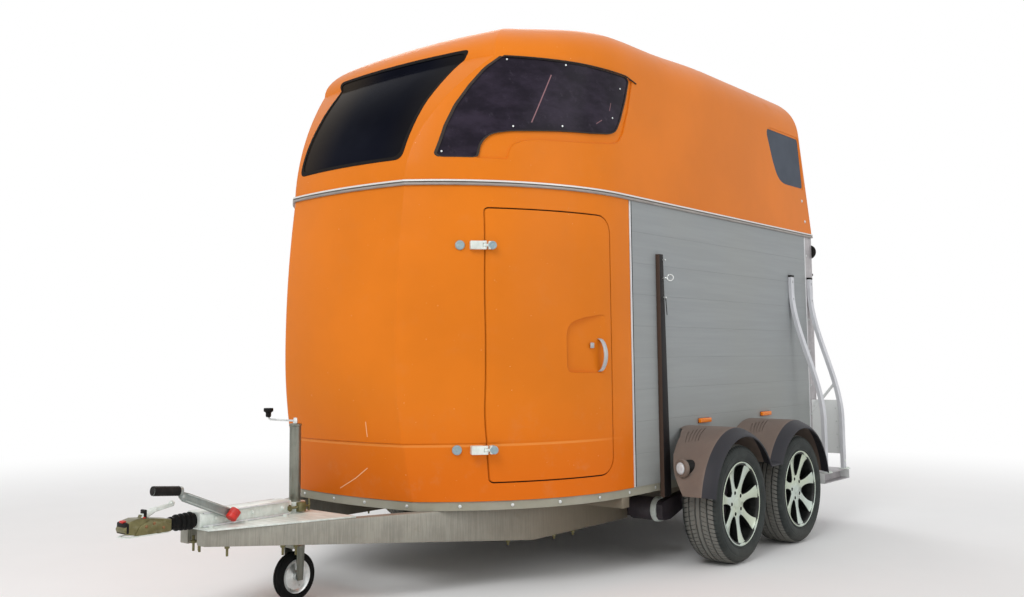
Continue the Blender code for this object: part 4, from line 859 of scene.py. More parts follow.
def merged_copy(node):
    """A copy of a CAD node with its triangles merged."""
    made = bpy.data.objects.new(f"{node}_finished", NODES[node].data.copy())
    bpy.context.scene.collection.objects.link(made)
    edit(made)
    bpy.ops.mesh.remove_doubles(threshold=0.00002)
    bpy.ops.mesh.dissolve_limited(angle_limit=radians(0.6))
    done()
    return made


def finer(node, edge=0.0, finish="galvanised", body="trailer", angle=35, segments=2):
    """A merged copy of a CAD node with rounded edges, which stands for it."""
    made = merged_copy(node)
    if edge:
        rounded_edges(made, edge, segments)
    dress(made, finish, body, angle)
    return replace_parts(made, node)


# Outlines
def filleted(points, radius, steps=5):
    """Rounds each corner of an outline by an arc as large as its sides allow."""
    made = []
    count = len(points)
    for i in range(count):
        a, b, c = (Vector(points[(i + k) % count]) for k in (-1, 0, 1))
        to_a, to_c = (a - b), (c - b)
        turn = pi - to_a.angle(to_c)
        if turn < radians(1):
            made.append(tuple(b))
            continue
        wide = radius * (5 if turn < radians(36) else 1)
        reach = min(wide * abs(sin(turn / 2) / max(cos(turn / 2), 0.05)), to_a.length * 0.48,
                    to_c.length * 0.48)
        p, q = b + to_a.normalized() * reach, b + to_c.normalized() * reach
        few = max(1, min(steps, round(turn / radians(9))))
        for k in range(few + 1):
            t = k / few
            made.append(tuple(p * (1 - t) ** 2 + b * 2 * t * (1 - t) + q * t * t))
    return made


def grown(outline, by):
    """Moves each side of an outline outwards; by is one distance or a rule on each side's outward normal."""
    count = len(outline)
    area = sum(outline[i][0] * outline[(i + 1) % count][1] - outline[(i + 1) % count][0] * outline[i][1]
               for i in range(count))
    sign = 1 if area > 0 else -1
    made = []
    for i in range(count):
        a, b, c = (Vector(outline[(i + k) % count]) for k in (-1, 0, 1))
        n1 = Vector(((b - a).y, -(b - a).x)).normalized() * sign
        n2 = Vector(((c - b).y, -(c - b).x)).normalized() * sign
        n = (n1 + n2) / (1 + n1.dot(n2))
        made.append(tuple(b + n * (by(n.normalized()) if callable(by) else by)))
    return made


def shifted(outline):
    """An outline in stations brought to the frame's Y."""
    return [(u + AXLE_Y, v) for u, v in outline]


# Shells with the same surfaces as the frame's, in finer steps
def ease(t):
    t = min(max(t, 0.0), 1.0)
    return t * t * (3 - 2 * t)


def plan(crease_x, crease_y, crown, half, start, rear, inset=0.0, side=10):
    cx, cy = crease_x - inset * 0.55, crease_y + inset
    hx = half - inset
    points = [(cx * t, cy - crown * (1 - t * t)) for t in (0, 0.2, 0.4, 0.6, 0.8, 0.93, 0.985)]
    run, rise = hx - cx, start - cy
    radius = (run * run + rise * rise) / (2 * run)
    sweep = asin(rise / radius)
    for t in (0, 0.007, 0.035, *[i / 22 for i in range(2, 23)]):
        a = -sweep * (1 - t)
        points.append((hx - radius + radius * cos(a), start + radius * sin(a)))
    for i in range(1, side + 1):
        points.append((hx, start + (rear - start) * i / side))
    return points


def whole(half):
    return [(-x, *rest) for x, *rest in reversed(half[1:])] + half


def bulge(z):
    if z > NOSE_BULGE_Z:
        reach = BELT_Z - RAIL_LIP / 2 - NOSE_BULGE_Z
        return NOSE_BULGE * max(0.0, 1 - ((z - NOSE_BULGE_Z) / reach) ** 2)
    if z >= SWAGE_Z:
        reach = NOSE_BULGE_Z - SWAGE_Z
        return NOSE_BULGE * (1 - 0.7 * ((z - NOSE_BULGE_Z) / reach) ** 2)
    return NOSE_BULGE * 0.3 - SWAGE_STEP + (z - SWAGE_Z) * CHIN_SLOPE


def nose_point(x, y, z):
    reach = min(1.0, max(0.0, (TRIM_Y - y) / (TRIM_Y - CREASE_Y)))
    return (x, y - bulge(z) * reach + AXLE_Y, z)


def nose_rows(inset):
    top = BELT_Z - RAIL_LIP / 2
    levels = [WALL_LOW, 0.43, 0.48, 0.54, 0.6, SWAGE_Z - 0.01, SWAGE_Z - 0.003, SWAGE_Z + 0.001,
              SWAGE_Z + 0.012]
    levels += [0.7 + 0.34 * i / 6 for i in range(6)]
    levels += [NOSE_BULGE_Z + (top - NOSE_BULGE_Z) * i / 14 for i in range(15)] + [BELT_UNDER]
    return [whole([nose_point(x, y, z) for x, y in plan(CREASE_X, CREASE_Y, FRONT_CROWN, HALF_WIDTH,
                                                        SIDE_START, TRIM_Y, inset, 3)]) for z in levels]


def rear_at(z):
    return HOOD_REAR - HOOD_RAKE * (z - BELT_OVER)


def hood_rows(inset, roof_steps=24):
    rows = []
    for i in range(HOOD_STEPS + 1):
        t = i / HOOD_STEPS
        z = BELT_OVER + t * (EAVE_Z - BELT_OVER)
        outline = plan(CREASE_X + HOOD_CREASE_SPREAD * t ** 1.9, CREASE_Y + HOOD_CREASE_LEAN * t ** 1.8,
                       FRONT_CROWN + 0.02 * t, HALF_WIDTH - HOOD_TUMBLEHOME * t,
                       SIDE_START + HOOD_SIDE_ADVANCE * t, rear_at(z), inset, 14)
        rows.append(whole([(x, y, z) for x, y in outline]))
    base = rows[-1]
    for k in range(1, roof_steps + 1):
        h = sin(pi / 2 * k / roof_steps)
        row = []
        for x, y, z in base:
            full = 2.0 + 0.8 * ease((y + 1.209) / 0.887)
            shrink = max(0.0, 1 - h ** full) ** (1 / full)
            ridge = max(y, CROWN_START)
            rise = FRONT_CROWN_RISE + (CROWN_RISE
                                       - FRONT_CROWN_RISE) * ease((ridge - CROWN_START) / CROWN_RUN)
            zz = EAVE_Z + (rise - inset) * h
            yy = ridge + (y - ridge) * shrink
            if yy > 0:
                yy *= rear_at(zz) / rear_at(EAVE_Z)
            row.append((x * shrink, yy, zz))
        rows.append(row)
    return [[(x, y + AXLE_Y, z) for x, y, z in row] for row in rows]


def skin(name, outer, inner, ridge=False):
    """Closes two open grids of the same size into one shell."""
    rows, count = len(outer), len(outer[0])
    points = [p for sheet in (outer, inner) for row in sheet for p in row]

    def at(sheet, i, j):
        return (sheet * rows + i) * count + j

    faces = []
    for sheet in (0, 1):
        for i in range(rows - 1):
            for j in range(count - 1):
                faces.append((at(sheet, i, j), at(sheet, i, j + 1), at(sheet, i + 1, j + 1),
                              at(sheet, i + 1, j)))
    for j in range(count - 1):
        faces.append((at(0, 0, j), at(1, 0, j), at(1, 0, j + 1), at(0, 0, j + 1)))
        if not ridge:
            faces.append((at(0, rows - 1, j), at(0, rows - 1, j + 1), at(1, rows - 1, j + 1),
                          at(1, rows - 1, j)))
    for i in range(rows - 1):
        faces.append((at(0, i, 0), at(0, i + 1, 0), at(1, i + 1, 0), at(1, i, 0)))
        faces.append((at(0, i, count - 1), at(1, i, count - 1), at(1, i + 1, count - 1),
                      at(0, i + 1, count - 1)))
    return tidy(mesh_piece(name, points, faces))


def windscreen_outline(grow=0.0):
    z0, z1 = 1.888 - grow, 2.425 + grow
    low, high = 0.332 + grow, 0.441 + grow
    mid = (2 * low + high) / 3
    right = [(low, z0), (mid - 0.012, (z0 + z1) / 2), (high - 0.045, z1 - 0.08), (high, z1)]
    return filleted(right + [(-x, z) for x, z in reversed(right)], 0.045, 6)


def through(outline, name="tool"):
    return prism(name, shifted(outline), "x", HALF_WIDTH - 0.55, OUTSIDE)


def both(tool):
    return join("tool", [tool, twin(tool, "tool_mirror", MIRROR)])


def rear_opening(inset):
    half, top = REAR_OPEN_HALF - inset, REAR_OPEN_TOP - inset
    low = BELT_OVER - 0.05 if inset == 0 else BELT_OVER + 0.004
    radius = 0.16
    points = [(half, low)]
    for i in range(13):
        a = radians(90 * i / 12)
        points.append((half - radius + radius * cos(a), top - radius + radius * sin(a)))
    return points + [(-x, z) for x, z in reversed(points)]


def raked(piece):
    for v in piece.data.vertices:
        v.co.y += AXLE_Y - HOOD_RAKE * (v.co.z - BELT_OVER)
    return piece


def pocket(outline, depth):
    """The space outside an offset of the hood's skin, within an outline seen from the side."""
    space = skin("tool", hood_rows(-0.03)[:20], hood_rows(depth)[:20])
    return carve(space, through(outline), "INTERSECT")


def build_hood():
    hood = skin("hood_finished", hood_rows(0.0), hood_rows(SHELL), ridge=True)
    rim = hood_rows(SHELL * 0.5)
    ring = [(row[-1][0], row[-1][2]) for row in rim]
    arch = ring + [(-x, z) for x, z in reversed(ring[:-1])]
    back = raked(prism("tool", arch, "y", HOOD_REAR - 0.035, HOOD_REAR - 0.001))
    carve(back, raked(prism("tool", rear_opening(0.0), "y", HOOD_REAR - 0.08, HOOD_REAR + 0.08)))
    carve(hood, back, "UNION")
    carve(hood, prism("tool", windscreen_outline(), "y", *FRONT_SPAN))
    carve(hood, both(pocket(filleted(REBATE, WINDOW_CORNER), sizes().recess)))
    carve(hood, both(pocket(grown(filleted(REAR_LIGHT, 0.05), 0.012), 0.003)))
    for outline in (SIDE_LIGHT, REAR_LIGHT):
        carve(hood, both(through(filleted(outline, WINDOW_CORNER))))
    for x in (-REAR_OPEN_HALF / 2, REAR_OPEN_HALF / 2):
        for start in (x - 0.032, x + 0.02):
            carve(hood, flap_ear(start), "UNION")
        y, z = flap_axis()
        carve(hood, rod("tool", (x - 0.028, y, z), (x + 0.028, y, z), 0.005, 16, 0.0005), "UNION")
    dress(hood, "paint", angle=32)
    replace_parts(hood, "hood_shell")


def flap_axis():
    z = REAR_OPEN_TOP + 0.012
    return rear_at(z) + 0.016 + AXLE_Y, z


def flap_ear(x):
    y, z = flap_axis()
    outline = [(y - 0.022, z - 0.008), (y + 0.009, z - 0.01), (y + 0.012, z + 0.004),
               (y + 0.002, z + 0.012), (y - 0.03, z + 0.03)]
    return prism("tool", outline, "x", x, x + 0.012)


def build_nose():
    nose = skin("nose_finished", nose_rows(0.0), nose_rows(SHELL))
    carve(nose, through(door_outline(0.0)))
    dress(nose, "paint", angle=32)
    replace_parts(nose, "nose_shell")


def door_outline(inset):
    y0, y1, z0, z1 = DOOR
    y0, y1, z0, z1 = y0 + inset, y1 - inset, z0 + inset, z1 - inset
    made = []
    wide, small = 0.085 - inset, 0.02 - inset

    def set_back(z):
        return 0.046 * ease((0.82 - z) / 0.46) + 0.011 * ease((z - 1.25) / 0.42)

    for radius, cy, cz, start in ((small, y0 + small, z0 + small, 180), (wide, y1 - wide, z0 + wide, 270),
                                  (wide, y1 - wide, z1 - wide, 0), (small, y0 + small, z1 - small, 90)):
        for i in range(13):
            a = radians(start + 90 * i / 12)
            made.append((cy + radius * cos(a), cz + radius * sin(a)))
    made += [(y0, z1 - 0.06 - (z1 - z0 - 0.12) * i / 24) for i in range(25)]
    return [(u + (set_back(v) if u < y0 + small + 0.001 else 0.0), v) for u, v in made]


def nose_surface(y, z):
    """Plan x of the nose's skin at a station and height."""
    row = [nose_point(a, b, z) for a, b in plan(CREASE_X, CREASE_Y, FRONT_CROWN, HALF_WIDTH, SIDE_START,
                                                TRIM_Y, 0, 3)]
    for p, q in zip(row, row[1:]):
        if p[1] <= y + AXLE_Y <= q[1]:
            return p[0] + (q[0] - p[0]) * (y + AXLE_Y - p[1]) / (q[1] - p[1])
    return HALF_WIDTH


def build_door():
    leaf = skin("door_finished", nose_rows(0.0), nose_rows(SHELL))
    carve(leaf, through(door_outline(DOOR_GAP)), "INTERSECT")
    a, b = -0.986, -0.738
    floor = [(nose_surface(a, NOSE_BULGE_Z) - RECESS_DEPTH, a), (nose_surface(b, NOSE_BULGE_Z) + TOUCH, b),
             (OUTSIDE, b), (OUTSIDE, a)]
    scoop = prism("tool", [(x, y + AXLE_Y) for x, y in floor], "z", 0.85, 1.25)
    carve(scoop, through(filleted(RECESS, WINDOW_CORNER)), "INTERSECT")
    carve(leaf, scoop)
    dress(leaf, "paint", "door", 32)
    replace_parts(leaf, "groom_door")


def pane(name, outline_tool, finish, node):
    glass = skin(name, hood_rows(GLASS_SET)[:19], hood_rows(GLASS_SET + GLASS)[:19])
    carve(glass, outline_tool, "INTERSECT")
    dress(glass, finish, angle=32)
    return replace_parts(glass, node)


def build_glass():
    touch = 0.0004
    pane("windscreen_pane", prism("tool", windscreen_outline(-touch), "y", *FRONT_SPAN), "glass",
         "windscreen")
    for outline, label, finish in ((SIDE_LIGHT, "side_window", "acrylic"),
                                   (REAR_LIGHT, "rear_window", "slate")):
        shape = grown(filleted(outline, WINDOW_CORNER), -touch)
        pane(f"{label}_pane_left", through(shape), finish, f"{label}_left")
        tool = through(shape)
        tool.data.transform(MIRROR)
        tool.data.flip_normals()
        pane(f"{label}_pane_right", tool, finish, f"{label}_right")


def build_belt():
    web, lip, under = RAIL_WEB / 2 - TOUCH, 0.0118, 0.0128
    profile = [
        (-0.018, -web), (TOUCH, -web), (TOUCH, -under), (0.007, -under), (RAIL_OUT, -under * 0.75),
        (RAIL_OUT, -0.002), (0.006, -0.0008), (0.006, 0.0022), (RAIL_OUT, 0.0034), (RAIL_OUT, lip * 0.86),
        (0.008, lip), (TOUCH, lip), (TOUCH, web), (-0.018, web)]
    paths = [whole(plan(CREASE_X, CREASE_Y, FRONT_CROWN, HALF_WIDTH, SIDE_START, POST_REAR, -o, 12)) for o,
             _ in profile]
    rings = [[(path[i][0], path[i][1] + AXLE_Y, BELT_Z + dz) for path, (_, dz) in zip(paths, profile)]
             for i in range(len(paths[0]))]
    belt = loft("belt_rail_finished", rings)
    dress(belt, "belt", angle=30)
    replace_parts(belt, "belt_rail")


# More shared work
def plate(name, outline, axis, low, high, edge=0.0012, segments=2):
    """A flat outline pushed out along an axis, with rounded edges."""
    return rounded_edges(prism(name, outline, axis, low, high), edge, segments, 30)


def placed(piece, matrix):
    piece.data.transform(matrix)
    if matrix.determinant() < 0:
        piece.data.flip_normals()
    return piece


def other_side(piece, name, body="trailer", nodes=()):
    """The same finished piece on the other side, with its own mesh."""
    made = twin(piece, name, MIRROR)
    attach(made, body)
    if nodes:
        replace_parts(made, *nodes)
    return made


def pair(piece, finish=None, node=None, angle=35):
    """Dresses a left piece and copies it to the right; each stands for its node, where one is named."""
    if finish:
        dress(piece, finish, angle=angle)
    if node:
        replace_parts(piece, f"{node}_left")
    nodes = (f"{node}_right",) if node else ()
    return other_side(piece, piece.name.replace("left", "right"), nodes=nodes)


def two_finishes(piece, first, second, test, angle=35):
    """The first finish where a test on centre and normal holds, the second elsewhere."""
    smooth(piece, angle)
    piece.data.materials.clear()
    piece.data.materials.append(look(first))
    piece.data.materials.append(look(second))
    for polygon in piece.data.polygons:
        polygon.material_index = 0 if test(polygon.center, polygon.normal) else 1
    return piece


def about(axis, angle, centre):
    place = Matrix.Translation(Vector(centre))
    return place @ Matrix.Rotation(angle, 4, axis) @ place.inverted()


def towards(start, end):
    """Brings the z axis at the origin to the way from one point to another."""
    start, end = Vector(start), Vector(end)
    turn = Vector((0, 0, 1)).rotation_difference((end - start).normalized()).to_matrix().to_4x4()
    return Matrix.Translation(start) @ turn


# Groom's door: hinges, buffers, seal and handle
HINGE_HEIGHTS = (1.495, 0.62)


def door_hinge_frame():
    """Origin on the door's pin; x points out of the skin and y along it towards the door."""
    radius = ((HALF_WIDTH - CREASE_X) ** 2 + (SIDE_START - CREASE_Y) ** 2) / (2 * (HALF_WIDTH - CREASE_X))
    turn = asin((SIDE_START - DOOR[0]) / radius)
    out, along = Vector((cos(turn), -sin(turn), 0)), Vector((sin(turn), cos(turn), 0))
    matrix = Matrix((out, along, Vector((0, 0, 1)))).transposed().to_4x4()
    matrix.translation = Vector((nose_surface(DOOR[0], NOSE_BULGE_Z), DOOR[0] + AXLE_Y, 0)) + out * 0.008
    return matrix


def build_door_fittings():
    matrix = door_hinge_frame()
    out = matrix.to_3x3().col[0]
    fixed, moving, discs, buttons = [], [], [], []
    for z in HINGE_HEIGHTS:
        spot = Vector((nose_surface(DOOR[0], z), DOOR[0] + AXLE_Y, 0))
        deep = (matrix.translation - spot).dot(out) + 0.006
        fixed.append(slab("hinge_bar", (-deep, 0.008), (-0.064, -0.0095), (z - 0.0185, z + 0.0185), 0.003))
        moving.append(slab("hinge_leaf", (-deep, 0.007), (0.0165, 0.036), (z - 0.0175, z + 0.0175), 0.0025))
        moving.append(slab("hinge_tongue", (-0.007, 0.0035), (0.0, 0.02), (z - 0.0062, z + 0.0062), 0.001))
        moving.append(rod("hinge_ring", (0, 0, z - 0.0064), (0, 0, z + 0.0064), 0.009, 20, 0.0008))
        for low in (-0.0185, 0.0074):
            fixed.append(slab("hinge_lug", (-0.007, 0.007), (-0.014, 0.0), (z + low, z + low + 0.0111),
                              0.001))
            fixed.append(rod("hinge_eye", (0, 0, z + low), (0, 0, z + low + 0.0111), 0.009, 20, 0.0012))
        buttons.append(turned("hinge_disc", [
            (0, -deep), (0.018, -deep), (0.018, 0.006), (0.0165, 0.0085), (0.0115, 0.009), (0.0108, 0.0076),
            (0.0048, 0.0076), (0.004, 0.0094), (0, 0.0094)], (0, 0.034, z), "x", 28))
        y = DOOR[0] - 0.077
        disc = turned("buffer", [
            (0, -0.01), (0.021, -0.01), (0.021, 0.006), (0.0188, 0.0092), (0.013, 0.01), (0.0115, 0.0086),
            (0.005, 0.0086), (0.0042, 0.0098), (0, 0.0098)], (0, 0, 0), "x", 28)
        place = matrix.copy()
        place.translation = (nose_surface(y, z), y + AXLE_Y, z)
        discs.append(placed(disc, place))
    dress(placed(join("door_hinges_fixed", fixed), matrix), "white_zinc")
    dress(placed(join("door_hinges_moving", moving), matrix), "white_zinc", "door")
    dress(placed(join("door_hinge_discs", buttons), matrix), "buffer", "door")
    dress(join("door_buffers", discs), "buffer")

    seal = skin("door_seal", nose_rows(0.006), nose_rows(0.018))
    carve(seal, through(door_outline(-0.003)), "INTERSECT")
    carve(seal, through(door_outline(DOOR_GAP - 0.001)))
    dress(seal, "gap")

    low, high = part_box("door_handle")
    y, half = (low.y + high.y) / 2, (high.y - low.y) / 2
    rings = []
    for i in range(25):
        t = i / 24
        z = low.z + 0.004 + (high.z - low.z - 0.008) * t
        reach = max(0.0, 1 - (2 * t - 1) ** 2) ** 0.6
        x = low.x + 0.002 + (high.x - low.x - 0.0115) * reach
        thick = 0.0085 + 0.004 * (1 - reach)
        wide = half * (0.8 + 0.2 * reach)
        rings.append([(x, y - wide, z), (x + thick * 0.55, y - wide, z), (x + thick, y - wide * 0.45, z),
                      (x + thick, y + wide * 0.45, z), (x + thick * 0.55, y + wide, z), (x, y + wide, z)])
    handle = loft("door_handle_bow", rings)
    rounded_edges(handle, 0.0012, 2, 50)
    floor = slab("handle_lock", (low.x - 0.004, low.x + 0.004), (y - 0.06, y - 0.036), (1.05, 1.075), 0.002)
    key = rod("handle_key", (low.x, y - 0.048, 1.0625), (low.x + 0.0055, y - 0.048, 1.0625), 0.008, 20,
              0.0008)
    dress(join("door_handle_finished", [handle, floor, key]), "grey_plastic", "door")
    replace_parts(bpy.data.objects["door_handle_finished"], "door_handle")


# Seals, trims and screws of the windows
def build_window_trims():
    rubber_edge = skin("windscreen_rubber", hood_rows(-0.0015)[:21], hood_rows(0.009)[:21])
    carve(rubber_edge, prism("tool", windscreen_outline(sizes().rub), "y", *FRONT_SPAN), "INTERSECT")
    carve(rubber_edge, prism("tool", windscreen_outline(-0.007), "y", *FRONT_SPAN))
    dress(rubber_edge, "seal", angle=40)

    edge = filleted(SIDE_LIGHT, WINDOW_CORNER)

    def wider_in_front(n):
        return 0.006 if n.x < -0.45 else 0.002

    ring = skin("side_window_trim_left", hood_rows(-0.0012)[:21], hood_rows(0.009)[:21])
    carve(ring, through(grown(edge, wider_in_front)), "INTERSECT")
    carve(ring, through(grown(edge, -0.0025)))
    pair(ring, "trim", angle=40)

    gutter = skin("window_gutter_left", hood_rows(-0.0065)[:21], hood_rows(0.002)[:21])
    lip = [(-1.16, 2.3765), (-0.83, 2.3765), (-0.52, 2.37), (-0.425, 2.349), (-0.424, 2.352),
           (-0.52, 2.3735), (-0.83, 2.38), (-1.16, 2.3795)]
    carve(gutter, through(lip), "INTERSECT")
    pair(gutter, "trim", angle=40)

    screws = []
    for u, v in ((-1.148, 2.362), (-0.8965, 2.361), (-0.563, 2.3), (-0.6348, 2.144), (-0.9523, 2.061),
                 (-1.178, 2.039), (-1.442, 1.912)):
        x, n = hood_surface(u, v)
        screws.append(bolt("window_screw", (x, u + AXLE_Y, v), n, 0.0034, 0.0018))
    pair(placed(join("side_window_screws_left", screws), Matrix.Translation((-0.0035, 0, 0))), "steel")

    studs = []
    for u, v in ((1.56, 1.99), (1.59, 1.86)):
        x, n = hood_surface(u, v)
        studs.append(bolt("panel_stud", (x, u + AXLE_Y, v), n, 0.007, 0.004))
    pair(join("rear_panel_studs_left", studs), "steel")


def hood_surface(u, z):
    """Plan x and outward normal of the hood's skin at a station and height below the eave."""
    t = (z - BELT_OVER) / (EAVE_Z - BELT_OVER)
    rows = hood_rows(0.0)[:HOOD_STEPS + 1]
    i = min(HOOD_STEPS - 1, max(0, int(t * HOOD_STEPS)))
    y = u + AXLE_Y

    def at(row):
        right = [p for p in row if p[0] > 0.2]
        for p, q in zip(right, right[1:]):
            if p[1] <= y <= q[1]:
                k = (y - p[1]) / max(q[1] - p[1], 1e-9)
                return p[0] + (q[0] - p[0]) * k, Vector((q[1] - p[1], p[0] - q[0], 0)).normalized()
        return right[-1][0], Vector((1, 0, 0))

    (a, n), (b, _) = at(rows[i]), at(rows[i + 1])
    return a + (b - a) * (t * HOOD_STEPS - i), n


# Walls, posts and rails of the sides
def build_sides():
    low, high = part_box("side_wall_left")
    inner, pitch, cut_in = low.x, (high.z - low.z) / PLANKS, sizes().seam
    y0, y1 = low.y, high.y
    outline = [(inner, low.z), (HALF_WIDTH, low.z)]
    for i in range(1, PLANKS):
        z = low.z + pitch * i
        outline += [(HALF_WIDTH, z - 0.0016), (HALF_WIDTH - cut_in, z - 0.0008),
                    (HALF_WIDTH - cut_in, z + 0.0008), (HALF_WIDTH, z + 0.0016)]
    outline += [(HALF_WIDTH, high.z), (inner, high.z)]
    pair(prism("side_planks_left", outline, "y", y0, y1), "planks", "side_wall", 20)
    top = BELT_Z - RAIL_LIP / 2 - 0.0005
    strip = slab("wall_strip_left", (HALF_WIDTH - 0.004, HALF_WIDTH + 0.004), (y0 + 0.0006, y0 + 0.0115),
                 (low.z + 0.002, top), 0.0012)
    pair(strip, "bright")
    seam = slab("wall_seal_left", (HALF_WIDTH - 0.004, HALF_WIDTH + 0.0018), (y0 + 0.0105, y0 + 0.0215),
                (low.z + 0.003, top), 0.0008)
    pair(seam, "seal")

    post = finer("side_post_left", 0.0014, "post")
    other_side(post, "side_post_right_finished", nodes=("side_post_right",))
    out, back = HALF_WIDTH + 0.023, -0.25 + AXLE_Y
    pins = [rod("post_pin", (out - 0.004, back - 0.008, z), (out + 0.016, back - 0.008, z), 0.0048, 14, 0.001)
            for z in (1.487, 1.3)]
    pins.append(rod("eye_shank", (out - 0.004, back - 0.008, 1.397), (out + 0.018, back - 0.004, 1.397),
                    0.0048, 14, 0.001))
    bpy.ops.mesh.primitive_torus_add(major_segments=28, minor_segments=10, major_radius=0.015,
                                     minor_radius=0.0036, location=(out + 0.032, back + 0.004, 1.398),
                                     rotation=(radians(90), 0, radians(28)))
    ring = settle(bpy.context.object)
    pins.append(ring)
    pair(join("post_pins_left", pins), "steel")
    strap = plate("post_strap_left", [(back - 0.003, 1.3), (back + 0.003, 1.3), (back + 0.0125, 1.215),
                                      (back + 0.0075, 1.213)], "x", out + 0.006, out + 0.0085, 0.0008)
    pair(strap, "black_plastic")

    for label in ("front", "rear"):
        build_rail(label)
    build_corner_posts()


def rail_reach(z):
    """How far a guard rail's inner face stands out at a height."""
    low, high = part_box("guard_rail_front_left")
    return low.x + (high.x - 0.022 - low.x) * ease((high.z - 0.09 - z) / 0.8)


def build_rail(label):
    low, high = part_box(f"guard_rail_{label}_left")
    deep = high.y - low.y
    section = [
        (0.0, 0.001), (0.0, deep - 0.001), (0.001, deep), (0.0205, deep), (0.022, deep - 0.0015),
        (0.022, deep * 0.8), (0.0195, deep * 0.77), (0.0195, deep * 0.66), (0.022, deep * 0.63),
        (0.022, deep * 0.37), (0.0195, deep * 0.34), (0.0195, deep * 0.23), (0.022, deep * 0.2),
        (0.022, 0.0015), (0.0205, 0.0), (0.001, 0.0)]
    rings = []
    for i in range(57):
        z = low.z + (high.z - 0.005 - low.z) * i / 56
        slope = (rail_reach(z + 0.01) - rail_reach(z - 0.01)) / 0.02
        if i in (0, 56):
            slope = 0.0
        n = Vector((1, -slope)).normalized()
        rings.append([(rail_reach(z) + n.x * o, low.y + v, z + n.y * o) for o, v in section])
    pair(loft(f"guard_rail_{label}_left_finished", rings), "aluminium", f"guard_rail_{label}",
         25)
    x = low.x
    cap = slab("cap", (x - 0.0002, x + 0.0235), (low.y - 0.001, high.y + 0.001), (high.z - 0.012, high.z),
               0.0015)
    slots = [slab("slot", (rail_reach(z) + 0.019, rail_reach(z) + 0.0226),
                  (low.y + deep * 0.44, low.y + deep * 0.56), (z - 0.009, z + 0.009), 0.0012)
             for z in (high.z - 0.042, high.z - 0.15)]
    pair(join(f"rail_caps_{label}_left", [cap, *slots]), "black_plastic")
    foot = rail_reach(low.z)
    feet = [slab("foot", (foot - 0.01, foot + 0.045), (low.y - 0.006, high.y + 0.006),
                 (low.z, low.z + 0.006), 0.001)]
    feet += [bolt("foot_bolt", (foot + 0.034, y, low.z + 0.006), (0, 0, 1), 0.0065, 0.005)
             for y in (low.y + 0.006, high.y - 0.006)]
    feet += [bolt("rail_bolt", (rail_reach(low.z + 0.05) + 0.0215, (low.y + high.y) / 2, low.z + 0.05),
                  (1, 0, 0), 0.006, 0.004)]
    pair(join(f"rail_feet_{label}_left", feet), "white_zinc")


def build_corner_posts():
    post = finer("corner_post_left", 0.001, "corner", angle=30)
    other_side(post, "corner_post_right_finished", nodes=("corner_post_right",))
    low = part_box("corner_post_left")[0]
    rail_low, rail_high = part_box("guard_rail_rear_left")
    front = rail_low.y + (rail_high.y - rail_low.y) / 2 - 0.002
    rivets = []
    for z in (0.44, 0.52, 0.6, 0.68):
        rivets.append(bolt("rivet", (rail_reach(z) - 0.02, front, z), (0, -1, 0), 0.0048, 0.0028, False))
    for z in (0.43, 0.69):
        rivets.append(bolt("rivet", (HALF_WIDTH + 0.02, front, z), (0, -1, 0), 0.0048, 0.0028, False))
    post_y = low.y + 0.03
    for z in (1.64, 1.233, 1.035, 0.82, 0.64):
        rivets.append(bolt("post_screw", (HALF_WIDTH, post_y, z), (1, 0, 0), 0.006, 0.0035))
    pair(join("corner_rivets_left", rivets), "steel")
    edge = slab("corner_edge_left", (HALF_WIDTH - 0.002, HALF_WIDTH + 0.0022),
                (low.y + 0.0005, low.y + 0.0125), (low.z + 0.002, BELT_Z - RAIL_LIP / 2 - 0.001), 0.0008)
    pair(edge, "bright")
    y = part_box("post_lamp_left")[0].y
    knob = turned("ramp_latch_knob_left", [
        (0, -0.004), (0.01, -0.004), (0.01, 0.006), (0.0075, 0.01), (0.0075, 0.016), (0.0105, 0.019),
        (0.0105, 0.026), (0.008, 0.029), (0, 0.029)], (HALF_WIDTH - 0.018, y, 1.526), "y", 20)
    pair(knob, "black_plastic")


# Wheels
CROSS_GROOVES = 80


def tyre_section():
    """Radius, distance from the middle plane, and depth of the cross grooves there."""
    half = [(0.1905, 0.0828, 0), (0.1985, 0.084, 0), (0.205, 0.0862, 0), (0.2085, 0.09, 0),
            (0.2115, 0.0898, 0), (0.214, 0.0886, 0), (0.222, 0.093, 0), (0.23, 0.0958, 0),
            (0.24, 0.0974, 0), (0.248, 0.097, 0), (0.2492, 0.0958, 0), (0.255, 0.095, 0),
            (0.2562, 0.0955, 0), (0.264, 0.0925, 0), (0.2705, 0.0886, 0.0), (0.2755, 0.0838, 0.003),
            (0.28, 0.0775, 0.005), (0.283, 0.07, 0.005), (0.2852, 0.061, 0.005), (0.2866, 0.0515, 0.005),
            (0.28, 0.0498, 0), (0.28, 0.044, 0), (0.2872, 0.0423, 0.0045), (0.2878, 0.03, 0.0045),
            (0.2881, 0.017, 0.0045), (0.2806, 0.0155, 0), (0.2806, 0.0095, 0), (0.2883, 0.0078, 0),
            (0.2885, 0.0, 0)]
    return half + [(r, -h, d) for r, h, d in reversed(half[:-1])]


def build_tyre(name, centre):
    deep = sizes().tread
    rings = []
    for k in range(CROSS_GROOVES):
        start = 2 * pi * k / CROSS_GROOVES
        for offset, low in ((0.0, 0), (0.0028, 1), (0.014, 1), (0.0168, 0)):
            ring = []
            for r, h, d in tyre_section():
                a = start + offset + abs(h) * 1.1
                ring.append((centre[0] + h, centre[1] + (r - d * low * deep) * cos(a),
                             centre[2] + (r - d * low * deep) * sin(a)))
            rings.append(ring)
    rings.append(rings[0])
    return loft(name, rings, caps=False)


